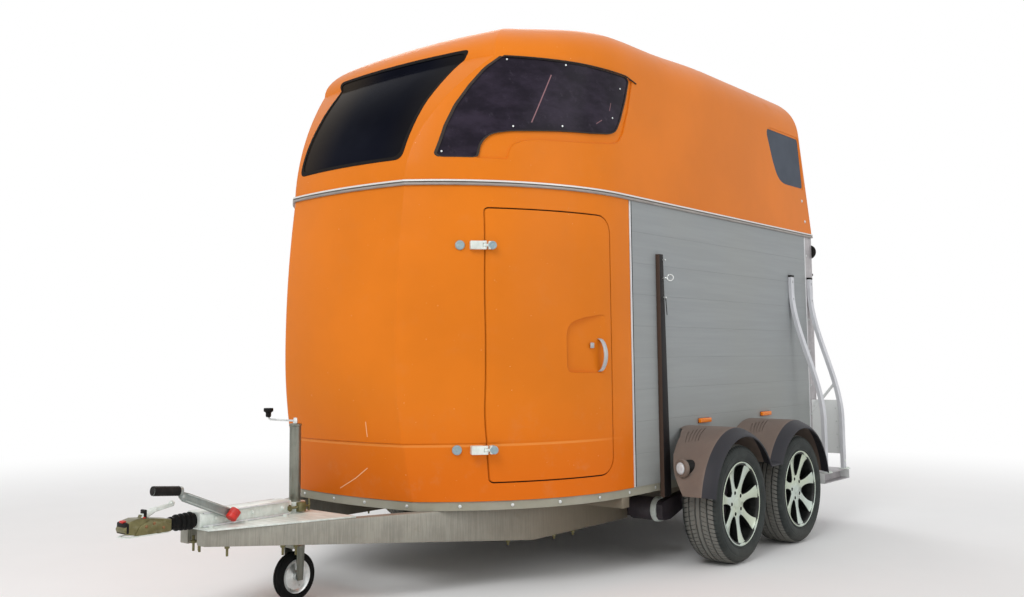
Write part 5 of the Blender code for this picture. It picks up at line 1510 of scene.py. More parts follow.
def build_rim(name, centre):
    """Barrel, seven spokes on a hub with five stud holes, and a centre cap."""
    x, y, z = centre
    barrel = turned(name, [
        (0.202, 0.0836), (0.2024, 0.088), (0.2008, 0.0892), (0.1972, 0.0892), (0.1958, 0.0874),
        (0.1885, 0.0856), (0.1868, 0.083), (0.185, 0.07), (0.183, 0.04), (0.1815, 0.0), (0.1815, -0.078),
        (0.185, -0.084), (0.196, -0.087), (0.2, -0.089), (0.2012, -0.086), (0.2005, -0.0836),
        (0.1901, -0.083), (0.1901, 0.083)], centre, "x", 72)

    def out_from(c):
        return hypot(c.y - y, c.z - z)

    two_finishes(barrel, "machined", "wheel_black", lambda c, n: out_from(c) > 0.1952 and c.x > x + 0.086)
    rings = []
    for v, w, top in ((0.05, 0.021, 0.0603), (0.06, 0.0213, 0.0612), (0.069, 0.021, 0.0622),
                      (0.08, 0.0186, 0.0629), (0.095, 0.0168, 0.0641), (0.112, 0.0166, 0.066),
                      (0.13, 0.0182, 0.0684), (0.148, 0.0212, 0.0714), (0.164, 0.0252, 0.0746),
                      (0.177, 0.0298, 0.0786), (0.1868, 0.0345, 0.0842), (0.19, 0.0357, 0.0866),
                      (0.1964, 0.0378, 0.088)):
        rings.append([
            (x + a, y + u, z - v) for u, a in ((-w, top), (w, top), (w + 0.0016, top - 0.0026),
                                               (w - 0.003, top - 0.025), (-w + 0.003, top - 0.025),
                                               (-w - 0.0016, top - 0.0026))])
    spoke = loft("spoke", rings)
    spokes = [twin(spoke, f"spoke_{i}", about("X", 2 * pi * i / SPOKES, centre)) for i in range(SPOKES)]
    bpy.data.objects.remove(spoke)
    hub = turned("hub", [(0, 0.03), (0.062, 0.03), (0.0695, 0.037), (0.07, 0.06), (0.0685, 0.062),
                         (0, 0.062)], centre, "x", 56)
    for one in spokes:
        carve(hub, one, "UNION")
    holes, studs = [], []
    for k in range(STUDS):
        a = 2 * pi * k / STUDS
        spot = (y - 0.053 * cos(a), z + 0.053 * sin(a))
        holes.append(rod("tool", (x + 0.046, *spot), (x + 0.08, *spot), 0.0095, 18, 0.0001))
        studs.append(bolt("wheel_stud", (x + 0.0462, *spot), (1, 0, 0), 0.0052, 0.005, False))
    carve(hub, join("tool", holes))
    rounded_edges(hub, 0.0009, 1, 40)
    two_finishes(hub, "machined", "wheel_black", lambda c, n: n.x > 0.72 and c.x > x + 0.0585)
    studs = join("wheel_studs", studs)
    studs.data.materials.append(look("wheel_black"))
    smooth(studs)
    cap = turned("centre_cap", [(0, 0.06), (0.029, 0.06), (0.03, 0.0618), (0.0285, 0.064), (0.0185, 0.0668),
                                (0.017, 0.0658), (0, 0.0658)], centre, "x", 40)
    cap.data.materials.append(look("machined"))
    smooth(cap, 30)
    return join(name, [barrel, hub, studs, cap])


def build_wheels():
    centre = (WHEEL_X, AXLES[0], WHEEL_Z)
    tyre = build_tyre("road_tyre_front_left", centre)
    dress(tyre, "tyre", "wheel_front_left", 40)
    rim = build_rim("road_rim_front_left", centre)
    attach(rim, "wheel_front_left")
    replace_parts(tyre, "tyre_front_left")
    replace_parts(rim, "rim_front_left")
    back = Matrix.Translation((0, AXLES[1] - AXLES[0], 0))
    for label, matrix in (("front_right", MIRROR), ("rear_left", back), ("rear_right", back @ MIRROR)):
        for piece, kind in ((tyre, "tyre"), (rim, "rim")):
            made = twin(piece, f"road_{kind}_{label}", matrix)
            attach(made, f"wheel_{label}")
            "tyre" if kind == "tyre" else "alloy"
            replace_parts(made, f"{kind}_{label}")


# Mudguards with louvres, and the lamps
def guard_path(radius, steps=34):
    low, valley = asin((0.353 - WHEEL_Z) / GUARD_TOP), asin((0.465 - WHEEL_Z) / GUARD_TOP)
    points = []
    for i in range(steps + 1):
        a = pi - low - (pi - low - valley) * i / steps
        points.append((AXLES[0] + radius * cos(a), WHEEL_Z + radius * sin(a)))
    for i in range(steps + 1):
        a = pi - valley - (pi - valley - low) * i / steps
        points.append((AXLES[1] + radius * cos(a), WHEEL_Z + radius * sin(a)))
    return points


def louvre(axle, i):
    """One slit along the front shoulder of an arch."""
    rings = []
    x0, x1 = 0.936 + 0.015 * i, 0.964 + 0.015 * i
    a0, a1 = 109 - 2.6 * i, 125 - 0.6 * i
    for k in range(9):
        t = k / 8
        a, x = radians(a0 + (a1 - a0) * t), x0 + (x1 - x0) * t
        w = 0.0012 + 0.0027 * sin(pi * t)
        rings.append([
            (x + s, axle + r * cos(a), WHEEL_Z + r * sin(a)) for s,
            r in ((-w, GUARD_TOP - 0.0042), (w, GUARD_TOP - 0.0042), (w, GUARD_TOP + 0.01),
                  (-w, GUARD_TOP + 0.01))])
    return loft("tool", rings)


def build_mudguards():
    thick = 0.006
    stations = [
        (HALF_WIDTH + 0.0003, 0.0), (HALF_WIDTH + 0.1, 0.0), (GUARD_OUT - 0.12, 0.0),
        (GUARD_OUT - 0.066, 0.0004), (GUARD_OUT - 0.06, 0.001), (GUARD_OUT - 0.056, 0.0026),
        (GUARD_OUT - 0.05, 0.0052), (GUARD_OUT - 0.036, 0.0112), (GUARD_OUT - 0.02, 0.0196),
        (GUARD_OUT - 0.01, 0.0268), (GUARD_OUT - 0.003, 0.034), (GUARD_OUT, 0.04)]
    outer = [[(x, y, z) for y, z in guard_path(GUARD_TOP - drop)] for x, drop in stations]
    inner = [[(min(x, GUARD_OUT - thick * 0.6), y, z) for y,
              z in guard_path(GUARD_TOP - max(drop, 0.0005) - thick)] for x, drop in stations]
    guard = skin("mudguard_left_finished", outer, inner)
    carve(guard, join("tool", [louvre(axle, i) for axle in AXLES for i in range(5)]))
    notch = [(-0.2903 + AXLE_Y, 0.3297), (-0.2217 + AXLE_Y, 0.3297), (-0.2537 + AXLE_Y, 1.5153),
             (-0.2903 + AXLE_Y, 1.5153)]
    carve(guard, prism("tool", notch, "x", HALF_WIDTH - 0.01, HALF_WIDTH + 0.0233))
    inner_corner = [
        (0.8, 0.3), (1.038, 0.3), (1.035, 0.324), (1.028, 0.351), (0.996, 0.403), (0.964, 0.455),
        (0.949, 0.494), (0.933, 0.534), (0.925, 0.573), (0.912, 0.617), (0.885, 0.645), (0.8, 0.6585)]
    carve(guard, prism("tool", inner_corner, "y", AXLE_Y - 0.45, AXLE_Y - 0.03))
    pair(guard, "guard", "mudguard", 40)


def build_lamps():
    low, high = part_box("front_lamp_left")
    x, z, front = (low.x + high.x) / 2, (low.z + high.z) / 2, low.y
    inward = about("Z", radians(-22), (x, front + 0.04, z))
    body = turned("front_lamp_body", [
        (0, 0.012), (0.03, 0.012), (0.033, 0.01), (0.036, 0.01), (0.0425, 0.013), (0.044, 0.018),
        (0.044, 0.028), (0.0415, 0.033), (0.037, 0.036), (0.037, 0.046), (0.0385, 0.05), (0.0385, 0.11),
        (0, 0.11)], (x, front, z), "y", 40)
    placed(body, inward)
    trim = turned("tool", [(0, 0), (GUARD_TOP + 0.0002, 0), (GUARD_TOP + 0.0002, 0.3), (0, 0.3)],
                  (x - 0.15, AXLES[0], WHEEL_Z), "x", 160)
    carve(body, trim)
    two_finishes(body, "guard", "black_plastic", lambda c, n: (inward.inverted() @ c).y < front + 0.034)
    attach(body, "trailer")
    body.name = "front_lamp_body_left"
    pair(body, node="front_lamp")
    lens = turned("front_lamp_lens_left", [(0, 0.0), (0.01, 0.0003), (0.018, 0.0016), (0.0235, 0.0038),
                                           (0.027, 0.007), (0.0285, 0.011), (0.0285, 0.014), (0, 0.014)],
                  (x, front, z), "y", 40)
    placed(lens, inward)
    pair(lens, "white_lens")

    low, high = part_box("post_lamp_left")
    x, z, back = (low.x + high.x) / 2, (low.z + high.z) / 2, low.y
    lamp = turned("post_lamp_left_finished", [
        (0, 0.0), (0.044, 0.0), (0.046, 0.002), (0.046, 0.009), (0.044, 0.011), (0.04, 0.0115),
        (0.039, 0.016), (0.0355, 0.021), (0.03, 0.0225), (0.0285, 0.0215), (0.027, 0.023), (0.015, 0.025),
        (0.0135, 0.024), (0.012, 0.0252), (0, 0.0255)], (x, back, z), "y", 40)
    two_finishes(lamp, "red_lens", "black_plastic", lambda c, n: c.y > back + 0.0112, 30)
    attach(lamp, "trailer")
    pair(lamp, None, "post_lamp")

    for end in ("front", "rear"):
        node = f"marker_lamp_{end}_left"
        low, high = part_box(node)
        z = (low.z + high.z) / 2
        lamp = slab("lens", (low.x + 0.001, high.x), (low.y, high.y), (z - 0.0115, z + 0.0115), 0.0045, 3)
        rib = slab("rib", (low.x + 0.003, high.x - 0.0005), ((low.y + high.y) / 2 - 0.013,
                                                             (low.y + high.y) / 2 + 0.013),
                   (z - 0.012, z + 0.012), 0.003)
        pair(join(f"{node}_finished", [lamp, rib]), "amber_lens", f"marker_lamp_{end}")
        base = slab(f"marker_base_{end}_left", (low.x, low.x + 0.003), (low.y + 0.002, high.y - 0.002),
                    (z - 0.0125, z + 0.0125), 0.001)
        pair(base, "black_plastic")

    low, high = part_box("tail_lamp_left")
    base = slab("tail_lamp_base_left", (low.x, high.x), (low.y, low.y + 0.01), (low.z, high.z), 0.003)
    pair(base, "black_plastic")
    parts = [slab("cell", (low.x + 0.004 + k * 0.078, low.x + 0.08 + k * 0.078), (low.y + 0.006, high.y),
                  (low.z + 0.004, high.z - 0.004), 0.005, 3) for k in range(3)]
    pair(join("tail_lamp_left_finished", parts), "red_lens", "tail_lamp")


# Chassis
def build_chassis():
    platform = merged_copy("rear_platform")
    low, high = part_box("rear_platform")
    top = low.z + 0.06
    for side in (-1, 1):
        ends = sorted((side * (high.x - 0.055), side * (high.x + 0.01)))
        carve(platform, block("tool", ends, (low.y + 0.004, 1.666 + AXLE_Y - 0.004),
                              (low.z + 0.004, top - 0.005)))
    rounded_edges(platform, 0.0014, 2, 35)
    dress(platform, "corner")
    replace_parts(platform, "rear_platform")
    for side in ("left", "right"):
        finer(f"drawbar_beam_{side}", 0.003, "galvanised")
    for end in ("front", "rear"):
        finer(f"cross_member_{end}", 0.003, "galvanised")
    treads = []
    model = slab("tread", (-0.016, 0.016), (-0.004, 0.004), (-0.001, 0.0022), 0.0008, 1)
    for i in range(24):
        x = -0.92 + 1.84 * i / 23
        for j in range(5):
            treads.append((x, low.y + 0.045 + 0.066 * j, top + 0.0002))
    dress(scattered("platform_treads", model, treads), "corner")

    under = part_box("floor_pan")[0].z
    bolts = []
    outline = plan(CREASE_X, CREASE_Y, FRONT_CROWN, HALF_WIDTH, SIDE_START, WALL_REAR, 0.004, 12)
    run = [(Vector(q) - Vector(p)).length for p, q in zip(outline, outline[1:])]
    total, step = sum(run), 0.236
    at = 0.1
    while at < total - 0.1:
        left = at
        for p, q, length in zip(outline, outline[1:], run):
            if left <= length:
                spot = Vector(p) + (Vector(q) - Vector(p)) * (left / length)
                way = Vector((q[1] - p[1], p[0] - q[0], 0)).normalized()
                reach = min(1.0, max(0.0, (TRIM_Y - spot.y) / (TRIM_Y - CREASE_Y)))
                bolts.append(bolt("strip_bolt", (spot.x, spot.y - bulge(WALL_LOW) * reach + AXLE_Y,
                                                 under + 0.019), way, 0.0055, 0.003))
                break
            left -= length
        at += step
    pair(join("strip_bolts_left", bolts), "steel")

    for end, y in zip(("front", "rear"), AXLES):
        y = y - AXLE_LEAD
        sleeve = turned(f"axle_sleeve_{end}_left", [(0.0, 0.64), (0.057, 0.64), (0.057, 0.785),
                                                    (0.055, 0.788), (0.0, 0.788)], (0, y, 0.25), "x", 36)
        ring = turned(f"axle_ring_{end}_left", [(0.05, 0.768), (0.0605, 0.768), (0.0615, 0.77),
                                                (0.0615, 0.778), (0.06, 0.78), (0.06, 0.792),
                                                (0.058, 0.796), (0.05, 0.796)], (0, y, 0.25), "x", 36)
        pair(sleeve, "axle")
        pair(ring, "white_zinc")

    hanging = []
    forward = ((0.02, -2.33, 0.312), (0.093, -2.255, 0.293), (0.176, -2.05, 0.277), (0.196, -2.0, 0.273))
    behind = ((0.615, -0.83, 0.2), (0.615, -0.68, 0.197), (0.56, -1.1, 0.204))
    for spots, hang, thick in ((forward, 0.04, 0.01), (behind, 0.022, 0.009)):
        for x, y, z in spots:
            y = y + AXLE_Y
            hanging.append(rod("stud", (x, y, z + 0.02), (x, y, z - hang), 0.005, 12))
            hanging.append(bolt("nut", (x, y, z), (0, 0, -1), 0.01, thick))
    pair(join("drawbar_bolts_left", hanging), "zinc")


# Overrun coupling, brake lever and jack
def build_coupling():
    finer("overrun_housing", 0.0018, "white_zinc")
    low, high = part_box("coupling_gaiter")
    z, front, back = (low.z + high.z) / 2, low.y, high.y
    profile = [(0, 0), (0.0205, 0), (0.0225, 0.0015), (0.023, 0.01), (0.025, 0.0115), (0.0255, 0.017),
               (0.024, 0.019), (0.0235, 0.026)]
    length, folds = back - front, 4
    for i in range(folds * 10 + 1):
        t = i / (folds * 10)
        h = 0.028 + (length - 0.034) * t
        crest = abs(sin(pi * folds * t)) ** 0.7
        profile.append((0.024 + 0.004 * t + 0.0068 * crest, h))
    profile += [(0.028, length), (0, length)]
    boot = dress(turned("coupling_boot", profile, (0, front, z), "y", 40), "rubber", angle=60)
    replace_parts(boot, "coupling_gaiter")

    head = finer("coupling_head", 0.0045, "zinc", segments=3)
    two_finishes(head, "white_zinc", "zinc", lambda c, n: c.z > z + 0.046)
    low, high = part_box("coupling_head")
    tip = low.y
    shelf = plate("coupling_shelf", [
        (-0.02, tip), (0.02, tip), (0.034, tip + 0.022), (0.036, tip + 0.12), (0.03, tip + 0.188),
        (-0.03, tip + 0.188), (-0.036, tip + 0.12), (-0.034, tip + 0.022)], "z", low.z - 0.0002,
                  low.z + 0.0045, 0.0012)
    hole = rod("tool", (0, tip + 0.034, low.z - 0.02), (0, tip + 0.034, low.z + 0.02), 0.0262, 28, 0.0002)
    dress(carve(shelf, hole), "white_zinc")
    nose = slab("coupling_nose_cap", (-0.0325, 0.0325), (tip + 0.004, tip + 0.02), (z - 0.012, z + 0.03),
                0.005, 3)
    hole = rod("tool", (0, tip + 0.034, z - 0.05), (0, tip + 0.034, z + 0.02), 0.0262, 28, 0.0002)
    carve(nose, hole)
    root = slab("lever_root", (-0.0135, 0.0135), (tip + 0.088, tip + 0.101), (z + 0.034, z + 0.066), 0.003)
    dress(join("coupling_nose_cap", [nose, root]), "black_plastic")
    marks = [slab("mark", (-0.012, 0.012), (tip + 0.002, tip + 0.018), (z + 0.027, z + 0.036), 0.003, 2),
             slab("mark", (-0.014, 0.014), (tip + 0.084, tip + 0.096), (z + 0.03, z + 0.0405), 0.002, 2)]
    dress(join("coupling_marks", marks), "red")
    pins = [bolt("pin", (s * 0.0318, tip + u, z + v), (s, 0, 0), 0.0065, 0.0045)
            for s in (1, -1) for u, v in ((0.086, 0.008), (0.118, 0.016), (0.158, -0.004))]
    dress(join("coupling_pins", pins), "copper")
    cheeks = []
    for side in (-1, 1):
        ends = sorted((side * 0.03, side * 0.035))
        cheeks.append(plate("cheek", [
            (tip + 0.04, z - 0.02), (tip + 0.13, z - 0.024), (tip + 0.19, z - 0.02),
            (tip + 0.19, z + 0.006), (tip + 0.14, z + 0.024), (tip + 0.1, z + 0.03),
            (tip + 0.06, z + 0.012)], "x", *ends, 0.0016))
    dress(join("coupling_cheeks", cheeks), "zinc")
    ball = turned("ball", [(0, -0.012), (0.006, -0.011), (0.0105, -0.006), (0.012, 0.0), (0.0105, 0.006),
                           (0.006, 0.011), (0, 0.012)], (0, tip + 0.212, z + 0.075), "x", 20)
    dress(ball, "white_zinc")
    ball.name = "coupling_lever_knob"

    low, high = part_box("overrun_housing")
    front = low.y
    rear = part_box("jack_tube")[0].y + 0.0245
    fittings, heads = [], []
    for side in (-1, 1):
        for u in (0.03, 0.19, 0.39):
            heads.append(bolt("plate_bolt", (side * 0.075, front + u, 0.3668), (0, 0, 1), 0.0095, 0.0075))
        for u in (0.07, 0.25, 0.4):
            heads.append(bolt("side_bolt", (side * 0.0448, front + u, z + 0.004), (side, 0, 0), 0.008,
                              0.006))
    clamp_y = rear - 0.06
    fittings.append(slab("clamp_block", (0.04, 0.062), (rear - 0.02, rear + 0.018), (0.372, 0.412), 0.003))
    fittings.append(rod("clamp_screw", (0.05, clamp_y, 0.392), (0.05, rear + 0.045, 0.392), 0.0055, 14))
    fittings.append(bolt("clamp_head", (0.05, clamp_y, 0.392), (0, -1, 0), 0.0105, 0.008))
    fittings.append(tube("clamp_toggle", [(0.05, rear + 0.04, 0.372), (0.05, rear + 0.044, 0.392),
                                          (0.052, rear + 0.04, 0.42)], 0.0045, 10))
    dress(join("housing_fittings", fittings), "zinc")
    dress(join("housing_bolts", heads), "white_zinc")
    lips = []
    for side in (-1, 1):
        ends = sorted((side * 0.045, side * 0.053))
        lips.append(slab("lip", ends, (front + 0.012, front + 0.43), (z + 0.0255, z + 0.0315), 0.0016))
        lips.append(slab("rib", ends, (front + 0.012, front + 0.43), (0.3675, 0.3745), 0.0016))
    dress(join("housing_lips", lips), "bright")


def build_lever():
    finer("brake_lever", 0.0022, "lever", "lever", 30)
    y, z = LEVER_Y, LEVER_Z
    start = Vector((0.056, y - 0.239, z + 0.1145))
    end = start + Vector((0, -0.124, 0.012)).normalized() * 0.114
    r = sizes().grip
    profile = [(0, 0.0), (r - 0.002, 0.0), (r, 0.002)]
    for i in range(14):
        h = 0.006 + 0.0072 * i
        profile += [(r, h), (r - 0.0006, h + 0.002), (r - 0.0006, h + 0.0045), (r, h + 0.0065)]
    profile += [(r, 0.1085), (r - 0.0008, 0.1132), (r - 0.0035, 0.115), (0, 0.115)]
    grip = placed(turned("brake_lever_grip", profile, (0, 0, 0), "z", 32), towards(start, end))
    dress(grip, "black_plastic", "lever", 30)
    far = Vector((0, -0.235, 0.098)).normalized()
    side = Vector((0, -far.z, far.y))
    rib = []
    for offset in (0.0145, -0.015):
        a = Vector((0.0635, y, z)) + far * 0.02 + side * offset
        b = Vector((0.0635, y, z)) + far * 0.228 + side * offset * 0.85
        rib.append(rod("rib", a, b, 0.0026, 10, 0.0006))
    rib.append(bolt("lever_bolt", Vector((0.062, y, z)) + far * 0.243, (1, 0, 0), 0.006, 0.004))
    # The edge ribs and bolt take the lighter zinc: painted highlight on the lever's edges.
    dress(join("brake_lever_ribs", rib), "lever_edge", "lever")
    cap = turned("lever_cap", [
        (0, -0.022), (0.018, -0.022), (0.0215, -0.0185), (0.022, -0.006), (0.0212, -0.005),
        (0.0212, -0.003), (0.022, -0.002), (0.022, 0.0185), (0.019, 0.022), (0, 0.022)], (0, 0, 0), "z", 12)
    cap = placed(cap, towards((0.085, y - 0.012, z + 0.003), (0.085, y + 0.486, z + 0.553)))
    rounded_edges(cap, 0.0008, 1, 40)
    dress(cap, "red", "lever")


def build_jack():
    top = 0.735
    y = JACK_Y
    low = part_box("jack_tube")[0].z
    tube_body = turned("jack_tube_finished", [
        (0, top - 0.02), (0.0206, top - 0.02), (0.0206, low), (0.024, low), (0.0245, low + 0.001),
        (0.0245, top - 0.01), (0.0268, top - 0.008), (0.0268, top - 0.001), (0.025, top + 0.001),
        (0.011, top + 0.003), (0, top + 0.003)], (0, y, 0), "z", 40)
    dress(tube_body, "jack", angle=40)
    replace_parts(tube_body, "jack_tube")
    stem = turned("stem", [(0, top), (0.01, top), (0.01, top + 0.018), (0.0085, top + 0.0215),
                           (0.0085, top + 0.026), (0, top + 0.026)], (0, y, 0), "z", 20)
    reach = 0.184
    crank = tube("crank", [
        (0.004, y, top + 0.0125), (-reach + 0.016, y, top + 0.0125), (-reach + 0.006, y, top + 0.0155),
        (-reach + 0.001, y, top + 0.022), (-reach, y, top + 0.034)], 0.0042, 12)
    dress(join("jack_crank", [stem, crank]), "steel")
    knob = turned("jack_knob", [
        (0, top + 0.022), (0.0095, top + 0.022), (0.012, top + 0.028), (0.012, top + 0.04),
        (0.015, top + 0.044), (0.02, top + 0.046), (0.021, top + 0.05), (0.021, top + 0.058),
        (0.0195, top + 0.0615), (0, top + 0.0615)], (-reach, y, 0), "z", 28)
    for k in range(10):
        a = 2 * pi * k / 10
        spot = (-reach + 0.0225 * cos(a), y + 0.0225 * sin(a))
        carve(knob, rod("tool", (*spot, top + 0.03), (*spot, top + 0.08), 0.003, 10, 0.0001))
    dress(knob, "black_plastic")

    finer("jack_inner_tube", 0.0018, "jack", "jack_leg")
    low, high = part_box("jockey_wheel")
    z, r = (low.z + high.z) / 2, 0.1
    w = 0.025
    half = [(0.07, -w + 0.006), (0.074, -w + 0.001), (0.084, -w), (0.094, -w + 0.004), (0.0985, -w + 0.009),
            (r, -0.01), (r, -0.004), (0.0975, -0.003)]
    tread = turned("jockey_tyre", mirrored(half), (0, y, z), "x", 56)
    dress(tread, "rubber", "jack_wheel", 40)
    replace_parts(tread, "jockey_wheel")
    half = [(0.0066, -0.027), (0.016, -0.027), (0.018, -0.025), (0.019, -0.016), (0.03, -0.011),
            (0.055, -0.011), (0.062, -0.018), (0.07, -0.0205), (0.0712, -0.015)]
    hub = turned("jockey_hub", mirrored(half), (0, y, z), "x", 48)
    dress(hub, "steel", "jack_wheel", 35)


# Ramp and flap at the rear
def build_rear():
    finer("rear_ramp", 0.0016, "planks", "ramp")
    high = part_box("rear_ramp")[1]
    face = RAMP_FRONT + RAMP_THICK
    half, bottom, top = high.x, 0.366, high.z
    frame_parts = []
    for x0, x1, z0, z1 in ((-half + 0.002, -half + 0.04, bottom + 0.002, top - 0.002),
                           (half - 0.04, half - 0.002, bottom + 0.002, top - 0.002),
                           (-half + 0.041, half - 0.041, bottom + 0.002, bottom + 0.045),
                           (-half + 0.041, half - 0.041, top - 0.045, top - 0.002)):
        frame_parts.append(slab("edge", (x0, x1), (face - 0.002, face + 0.003), (z0, z1), 0.0012))
    dress(join("ramp_frame", frame_parts), "aluminium", "ramp")
    model = slab("cleat", (-half + 0.09, half - 0.09), (RAMP_FRONT - 0.0035, RAMP_FRONT + 0.002),
                 (-0.009, 0.009), 0.0015)
    places = [(0, 0, bottom + 0.13 + 0.155 * i) for i in range(8)]
    dress(scattered("ramp_cleats", model, places), "ply", "ramp")
    bolts = [bolt("frame_bolt", (s * (half - 0.021), face + 0.003, z), (0, 1, 0), 0.007, 0.0045)
             for s in (-1, 1) for z in (0.46, 0.78, 1.1, 1.42, 1.7)]
    for x in (-(half - 0.226), half - 0.226):
        bolts += [bolt("strap_bolt", (x + dx, 1.7043 + AXLE_Y, 0.428), (0, 1, 0.21), 0.0055, 0.004)
                  for dx in (-0.01, 0.01)]
    dress(join("ramp_bolts", bolts), "steel", "ramp")

    finer("rear_flap", 0.002, "paint", "flap")
    outer = raked(prism("flap_panel", rear_opening(0.03), "y", HOOD_REAR - 0.006, HOOD_REAR + 0.0015))
    rounded_edges(outer, 0.0018, 2, 30)
    dress(outer, "paint", "flap")
    bolts = []
    for x in (-REAR_OPEN_HALF / 2, REAR_OPEN_HALF / 2):
        for dx in (-0.01, 0.01):
            y, z = flap_axis()
            bolts.append(bolt("flap_bolt", (x + dx, y + 0.0018, z - 0.045), (0, 1, -0.18), 0.0045, 0.003))
    dress(join("flap_bolts", bolts), "steel", "flap")


# Stage
def build_stage():
    size = 60
    bpy.ops.mesh.primitive_circle_add(vertices=64, radius=size, fill_type="NGON", location=(0, 0, 0))
    floor = bpy.context.object
    floor.name = "floor"
    a = Look("pale_floor")
    away = (a.x * a.x + a.y * a.y).root()
    grain = a.noise(3, 3)
    base = a.mix(grain, (0.9, 0.9, 0.9), (0.93, 0.93, 0.93))
    a.finish(base, 0.85, 0.0, grain, 0.0005)
    glow = a.node("ShaderNodeEmission", {}, {"Color": (1, 1, 1), "Strength": 1.0})
    far = a.step(away, 3.2, 7.0)
    camera_ray = a.node("ShaderNodeLightPath", {}, {}, "Is Camera Ray")
    shown = a.node("ShaderNodeMixShader", {}, {0: far * camera_ray, 1: Term(a, a.shader.outputs[0]), 2: glow})
    a.tree.links.new(shown.socket, a.tree.nodes["Material Output"].inputs["Surface"])
    floor.data.materials.append(a.material)

    world = bpy.data.worlds.new("studio")
    bpy.context.scene.world = world
    world.use_nodes = True
    tree = world.node_tree
    back = tree.nodes["Background"]
    back.inputs[0].default_value = (1, 1, 1, 1)
    path = tree.nodes.new("ShaderNodeLightPath")
    seen = None
    for ray in ("Is Camera Ray", "Is Glossy Ray", "Is Transmission Ray"):
        if seen is None:
            seen = path.outputs[ray]
            continue
        most = tree.nodes.new("ShaderNodeMath")
        most.operation = "MAXIMUM"
        tree.links.new(seen, most.inputs[0])
        tree.links.new(path.outputs[ray], most.inputs[1])
        seen = most.outputs[0]
    level = tree.nodes.new("ShaderNodeMapRange")
    level.inputs["To Min"].default_value = 0.62
    level.inputs["To Max"].default_value = 1.0
    tree.links.new(seen, level.inputs["Value"])
    tree.links.new(level.outputs[0], back.inputs[1])

    for name, place, target, size, power in (
            ("key", (2.2, -6.5, 6.2), (0, -0.3, 1.2), 3.5, 240),
            ("fill", (7.0, 0.5, 3.5), (0, 0.3, 1.2), 4.0, 65),
            ("back", (-5.0, 5.5, 5.0), (0, 0.5, 1.4), 4.0, 140)):
        data = bpy.data.lights.new(name, "AREA")
        data.size = size
        data.energy = power
        lamp = bpy.data.objects.new(name, data)
        lamp.location = place
        lamp.rotation_mode = "QUATERNION"
        lamp.rotation_quaternion = (Vector(target) - Vector(place)).to_track_quat("-Z", "Y")
        bpy.context.scene.collection.objects.link(lamp)

    yaw, pitch, roll = radians(40.044), radians(4.991), radians(-0.393)
    ahead = Vector((-sin(yaw) * cos(pitch), cos(yaw) * cos(pitch), sin(pitch)))
    right = Vector((cos(yaw), sin(yaw), 0))
    up = right.cross(ahead)
    side = right * cos(roll) + up * sin(roll)
    top = -right * sin(roll) + up * cos(roll)
    data = bpy.data.cameras.new("camera")
    data.lens, data.sensor_width = 35.7, 36
    data.shift_x, data.shift_y = 0.0289, -0.0309
    camera = bpy.data.objects.new("camera", data)
    matrix = Matrix((side, top, -ahead)).transposed().to_4x4()
    matrix.translation = (3.435, -4.217, 1.02)
    camera.matrix_world = matrix
    bpy.context.scene.collection.objects.link(camera)
    bpy.context.scene.camera = camera
    bpy.context.scene.view_settings.view_transform = "Standard"


# Frame nodes that keep their shape and get a finish
PLAIN = {"floor_pan": "deck", "axle_front": "axle", "axle_rear": "axle"}


def build_plain():
    for node, finish in PLAIN.items():
        piece = NODES[node]
        piece.data.materials.clear()
        piece.data.materials.append(look(finish))


# Add-on
class TrailerColours(bpy.types.PropertyGroup):
    """Base colours of the trailer's finishes."""
    paint: FloatVectorProperty(name="Gelcoat", description="Colour of the moulded shells", subtype="COLOR",
                               default=(0.75, 0.196, 0.011), min=0, max=1)
    plank: FloatVectorProperty(name="Planks", description="Colour of the aluminium planks", subtype="COLOR",
                               default=(0.31, 0.33, 0.338), min=0, max=1)
    zinc: FloatVectorProperty(name="Zinc", description="Middle colour of the galvanised steel",
                              subtype="COLOR",
                              default=(0.315, 0.305, 0.26), min=0, max=1)
    rail: FloatVectorProperty(name="Rails", description="Colour of the guard rails", subtype="COLOR",
                              default=(0.64, 0.65, 0.68), min=0, max=1)


class TrailerSizes(bpy.types.PropertyGroup):
    """Sizes of the finished details, in metres."""
    seam: FloatProperty(name="Plank seam", description="Depth of the groove between two planks",
                        unit="LENGTH",
                        default=0.0006, min=0.0002, max=0.004)
    recess: FloatProperty(name="Window rebate", description="Depth of the moulded rebate round a side window",
                          unit="LENGTH",
                          default=0.0075, min=0.001, max=0.012)
    tread: FloatProperty(name="Cross grooves", description="Depth scale of the tread's cross grooves",
                         default=1.0,
                         min=0.2, max=1.5)
    grip: FloatProperty(name="Grip", description="Radius of the brake lever's grip", unit="LENGTH",
                        default=0.0185,
                        min=0.0178, max=0.022)
    rub: FloatProperty(name="Window rubber", description="How far a window's rubber covers the shell",
                       unit="LENGTH",
                       default=0.009, min=0.003, max=0.015)


def colours():
    return bpy.context.scene.trailer_colours


def sizes():
    return bpy.context.scene.trailer_sizes


class Step:
    """Runs its builders in order."""
    builders = ()

    def execute(self, context):
        for build in self.builders:
            build()
        return {"FINISHED"}


class TRAILER_OT_stage(Step, bpy.types.Operator):
    """Floor, lamps, world and camera."""
    bl_idname = "trailer.stage"
    bl_label = "Stage"
    builders = (build_stage,)


class TRAILER_OT_shells(Step, bpy.types.Operator):
    """Moulded nose and hood."""
    bl_idname = "trailer.shells"
    bl_label = "Shells"
    builders = (build_hood, build_nose)


class TRAILER_OT_door(Step, bpy.types.Operator):
    """Groom's door with its hinges, seal, buffers and handle."""
    bl_idname = "trailer.door"
    bl_label = "Groom's door"
    builders = (build_door, build_door_fittings)


